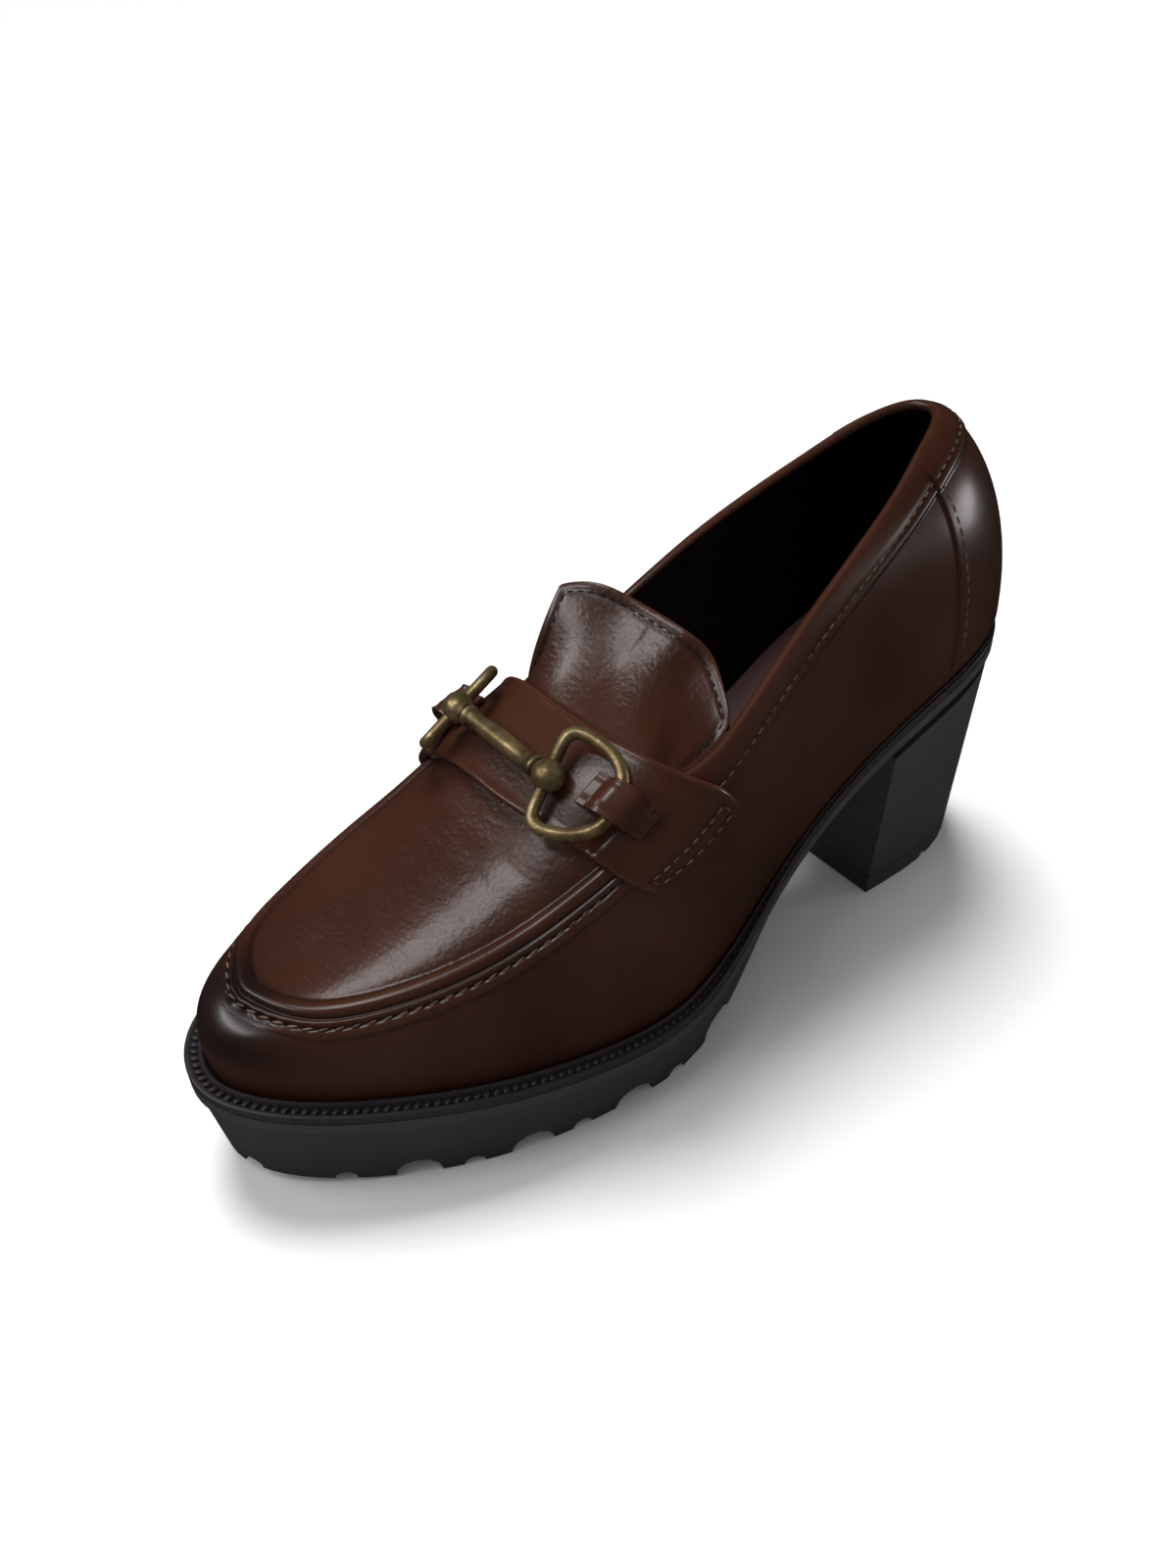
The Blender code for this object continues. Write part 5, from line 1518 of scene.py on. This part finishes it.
@dataclass
class Sole:
    """Rubber unit, welt with its ribs, heel and the covered insole."""

    rib_pitch: float = 0.0022
    rib_turn: float = 62.0
    rib: tuple[float, float] = (0.00068, 0.0023)
    insole: float = 0.0025
    dome: float = 0.0007
    cup: float = 0.0010
    # Soft ridges of the insole at the arch: rib, place across, height in mm
    RIDGES = ((0.43, 0.55, 0.45), (0.455, 0.5, 0.4), (0.48, 0.45, 0.35), (0.405, 0.6, 0.35))

    def build(self, frame: dict, finishes: Finishes) -> None:
        """Dress the rubber unit and the heel, and make the welt and the insole."""
        for node in ("outsole", "heel_block", "heel_top_piece"):
            obj = frame["nodes"][node]
            obj.data.materials.clear()
            obj.data.materials.append(finishes.rubber)
            LOG.info("%s: dressed", node)
        self.build_welt(finishes)
        self.build_insole(finishes)

    def build_welt(self, finishes: Finishes) -> None:
        """Strip with a smooth outer lip, a ribbed groove and a bead beside the upper."""
        profile = (
            # share of the ledge, height as a share of the strip
            (0.00, 0.00), (0.00, 0.55), (0.015, 0.85), (0.06, 1.00), (0.15, 1.04), (0.24, 1.00),
            (0.29, 0.86), (0.34, 0.66), (0.50, 0.62), (0.64, 0.66), (0.68, 0.95), (0.73, 1.32),
            (0.80, 1.50), (0.88, 1.46), (0.95, 1.20), (1.00, 0.90), (1.00, 0.00), (0.50, 0.00),
            (0.00, 0.00),
        )
        t, side = LAST.round_shoe(np.linspace(0, 1, 161))
        width = LAST.ledge(t) - LAST.gap
        share, height = np.array(profile).T
        x, y = LAST.rim(t[:, None], side[:, None], share * width[:, None])
        z = LAST.sole_top(x) + LAST.gap + height * LAST.welt
        points = LAST.centred(np.stack((x, y, z), -1))
        closed_piece("welt_strip", points, 55, finishes.welt, Slot.RUBBER, "welt")
        x, y = LAST.rim(t, side, 0.49 * width)
        line = LAST.centred(np.stack((x, y, LAST.sole_top(x) + LAST.gap + 0.78 * LAST.welt), -1))
        up = np.tile((0.0, 0.0, 1.0), (len(t), 1))
        places = frames_along(line, up, self.rib_pitch, self.rib_turn)
        scales = []
        for place in places:
            at = LAST.rim_t(np.array(place[0][3] + LAST.length / 2))
            wide = float(LAST.ledge(at)) / LAST.welt_ledge
            scales.append(place @ Matrix.Diagonal((max(wide, 0.25), max(wide, 0.55), 1.0, 1.0)))
        dressed(copies("welt_ribs", bead(*self.rib), scales), finishes.welt, Slot.RUBBER)

    def build_insole(self, finishes: Finishes) -> None:
        """Covered board, softly crowned, with crease ridges at the arch."""
        ribs = np.linspace(0, 1, 101)
        share = np.linspace(-1, 1, 41)
        inset = LAST.ledge(ribs) + LAST.wall + 2 * LAST.gap
        lx, ly = LAST.rim(ribs, 1.0, inset)
        rx, ry = LAST.rim(ribs, -1.0, inset)
        k = (share + 1) / 2
        x = rx[:, None] * (1 - k) + lx[:, None] * k
        y = ry[:, None] * (1 - k) + ly[:, None] * k
        edge = 1 - np.abs(share) ** 8
        ends = smooth(ribs / 0.04) * smooth((1 - ribs) / 0.04)
        cup = np.exp(-((share / 0.7) ** 2)) * np.exp(-(((ribs[:, None] - 0.17) / 0.12) ** 2))
        dome = self.dome * (1 - share**2) - self.cup * cup
        wave = np.zeros_like(x)
        for rib, aside, high in self.RIDGES:
            bent = ribs[:, None] - rib - 0.02 * share**2
            wave += np.exp(-((bent / 0.006) ** 2)) * np.exp(-(((share - aside) / 0.5) ** 2)) * high * MM
        full = edge * ends[:, None]
        low = LAST.sole_top(x) + LAST.gap
        top = low + self.insole * (0.55 + 0.45 * full) + (dome + wave) * full
        faces = [LAST.centred(np.stack((x, y, z), -1)) for z in (top, low)]
        faces += [np.stack((faces[0][:, column], faces[1][:, column]), 1) for column in (0, -1)]
        board = joined("insole_board", [grid_piece("insole_face", points) for points in faces])
        weld(board)
        soften(board, 50)
        dressed(board, finishes.sock, Slot.LINING, "insole")


# Studio


@dataclass
class Studio:
    """Camera, floor and soft lights."""

    place: tuple[float, float, float] = (0.1499, 0.1987, 0.2519)
    azimuth: float = 55.4
    elevation: float = 37.9
    roll: float = -2.7
    focal: float = 1298.44
    frame_height: float = 1600.0
    sensor: float = 36.0
    floor_size: float = 8.0
    floor_gap: float = 0.0002
    world_light: float = 0.012
    world_seen: float = 0.9
    aim: Colour = (0.02, 0.0, 0.05)
    # Suns: name, place that it shines from, strength, spread in degrees
    SUNS = (
        ("side_sun", (-0.14, -0.40, 0.90), 3.0, 28.0),
        ("sky", (0.00, 0.00, 1.00), 0.6, 110.0),
        ("fill_sun", (0.30, 0.80, 0.42), 0.28, 80.0),
    )
    # Soft boxes: name, azimuth and elevation of its place, width, height, power
    BOXES = (
        ("key_box", -6.0, 63.0, 0.46, 0.22, 1.6),
        ("front_strip", -22.0, 36.0, 1.00, 0.13, 2.5),
        ("right_box", 152.0, 6.0, 0.30, 0.22, 0.9),
    )

    def build(self) -> None:
        """Set up the studio."""
        self.camera()
        self.floor()
        self.background()
        self.lights()
        bpy.context.scene.view_settings.view_transform = "Standard"
        LOG.info("studio: ready")

    def camera(self) -> None:
        """Camera at the photograph's angle."""
        a, e, r = (math.radians(v) for v in (self.azimuth, self.elevation, self.roll))
        ahead = Vector((-math.cos(a) * math.cos(e), -math.sin(a) * math.cos(e), -math.sin(e)))
        right = Vector((-math.sin(a), math.cos(a), 0.0))
        up = right.cross(ahead)
        right, up = right * math.cos(r) + up * math.sin(r), up * math.cos(r) - right * math.sin(r)
        data = bpy.data.cameras.new("camera")
        data.sensor_width = self.sensor
        data.sensor_fit = "AUTO"
        data.lens = self.focal * self.sensor / self.frame_height
        data.clip_start, data.clip_end = 0.01, 2.5 * self.floor_size
        obj = bpy.data.objects.new("camera", data)
        obj.matrix_world = standing(right, up, -ahead, self.place)
        bpy.context.scene.collection.objects.link(obj)
        bpy.context.scene.camera = obj

    def floor(self) -> None:
        """Plain pale floor."""
        bpy.ops.object.select_all(action="DESELECT")
        bpy.ops.mesh.primitive_plane_add(size=self.floor_size, location=(0, 0, -self.floor_gap))
        floor = bpy.context.active_object
        floor.name = "floor"
        bpy.ops.object.transform_apply(location=True, rotation=True, scale=True)
        finish = bpy.data.materials.new("pale_floor")
        finish.use_nodes = True
        shader = finish.node_tree.nodes["Principled BSDF"]
        pale = (0.93, 0.93, 0.93, 1.0)
        for key, value in (("Base Color", pale), ("Roughness", 0.9), ("Specular IOR Level", 0.1)):
            shader.inputs[key].default_value = value
        floor.data.materials.append(finish)
        floor.visible_glossy = False

    def background(self) -> None:
        """World that is pale to the camera and nearly dark as a light."""
        world = bpy.data.worlds.new("studio")
        world.use_nodes = True
        nodes = Nodes(world.node_tree)
        shown = nodes.tree.nodes["Background"]
        shown.inputs["Color"].default_value = (1.0, 1.0, 1.0, 1.0)
        seen = nodes.add("LightPath").outputs["Is Camera Ray"]
        limits = {"Value": seen, "To Min": self.world_light, "To Max": self.world_seen}
        nodes.tree.links.new(nodes.add("MapRange", limits).outputs["Result"], shown.inputs["Strength"])
        bpy.context.scene.world = world

    def lights(self) -> None:
        """Soft suns for the floor and the leather's own colour, and soft boxes that draw the highlights."""
        for name, place, strength, spread in self.SUNS:
            data = bpy.data.lights.new(name, "SUN")
            data.energy, data.angle = strength, math.radians(spread)
            self.hang(name, data, place, (0.0, 0.0, 0.0)).visible_glossy = False
        for name, azimuth, elevation, width, height, power in self.BOXES:
            data = bpy.data.lights.new(name, "AREA")
            data.shape = "ELLIPSE"
            data.size, data.size_y, data.energy = width, height, power
            data.cycles.max_bounces = 0
            a, e = math.radians(azimuth), math.radians(elevation)
            place = (math.cos(a) * math.cos(e), math.sin(a) * math.cos(e), math.sin(e) + self.aim[2])
            self.hang(name, data, place, self.aim)

    def hang(self, name: str, data: bpy.types.Light, place: Sequence[float], aim: Sequence[float]) -> Object:
        """Put a light at its place, turned to its aim."""
        obj = bpy.data.objects.new(name, data)
        obj.location = place
        obj.rotation_euler = (Vector(aim) - Vector(place)).to_track_quat("-Z", "Y").to_euler()
        bpy.context.scene.collection.objects.link(obj)
        return obj


def main() -> None:
    """Build the shoe around its frame."""
    logging.basicConfig(level=logging.INFO, format="%(name)s %(message)s")
    for obj in list(bpy.data.objects):
        bpy.data.objects.remove(obj, do_unlink=True)
    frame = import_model()
    finishes = Finishes()
    Studio().build()
    Sole().build(frame, finishes)
    Upper().build(finishes)
    strap = SaddleStrap()
    strap.build(finishes)
    Tongue().build(strap, finishes)
    Bit().build(finishes)
    bpy.context.view_layer.update()


if __name__ == "__main__":
    main()
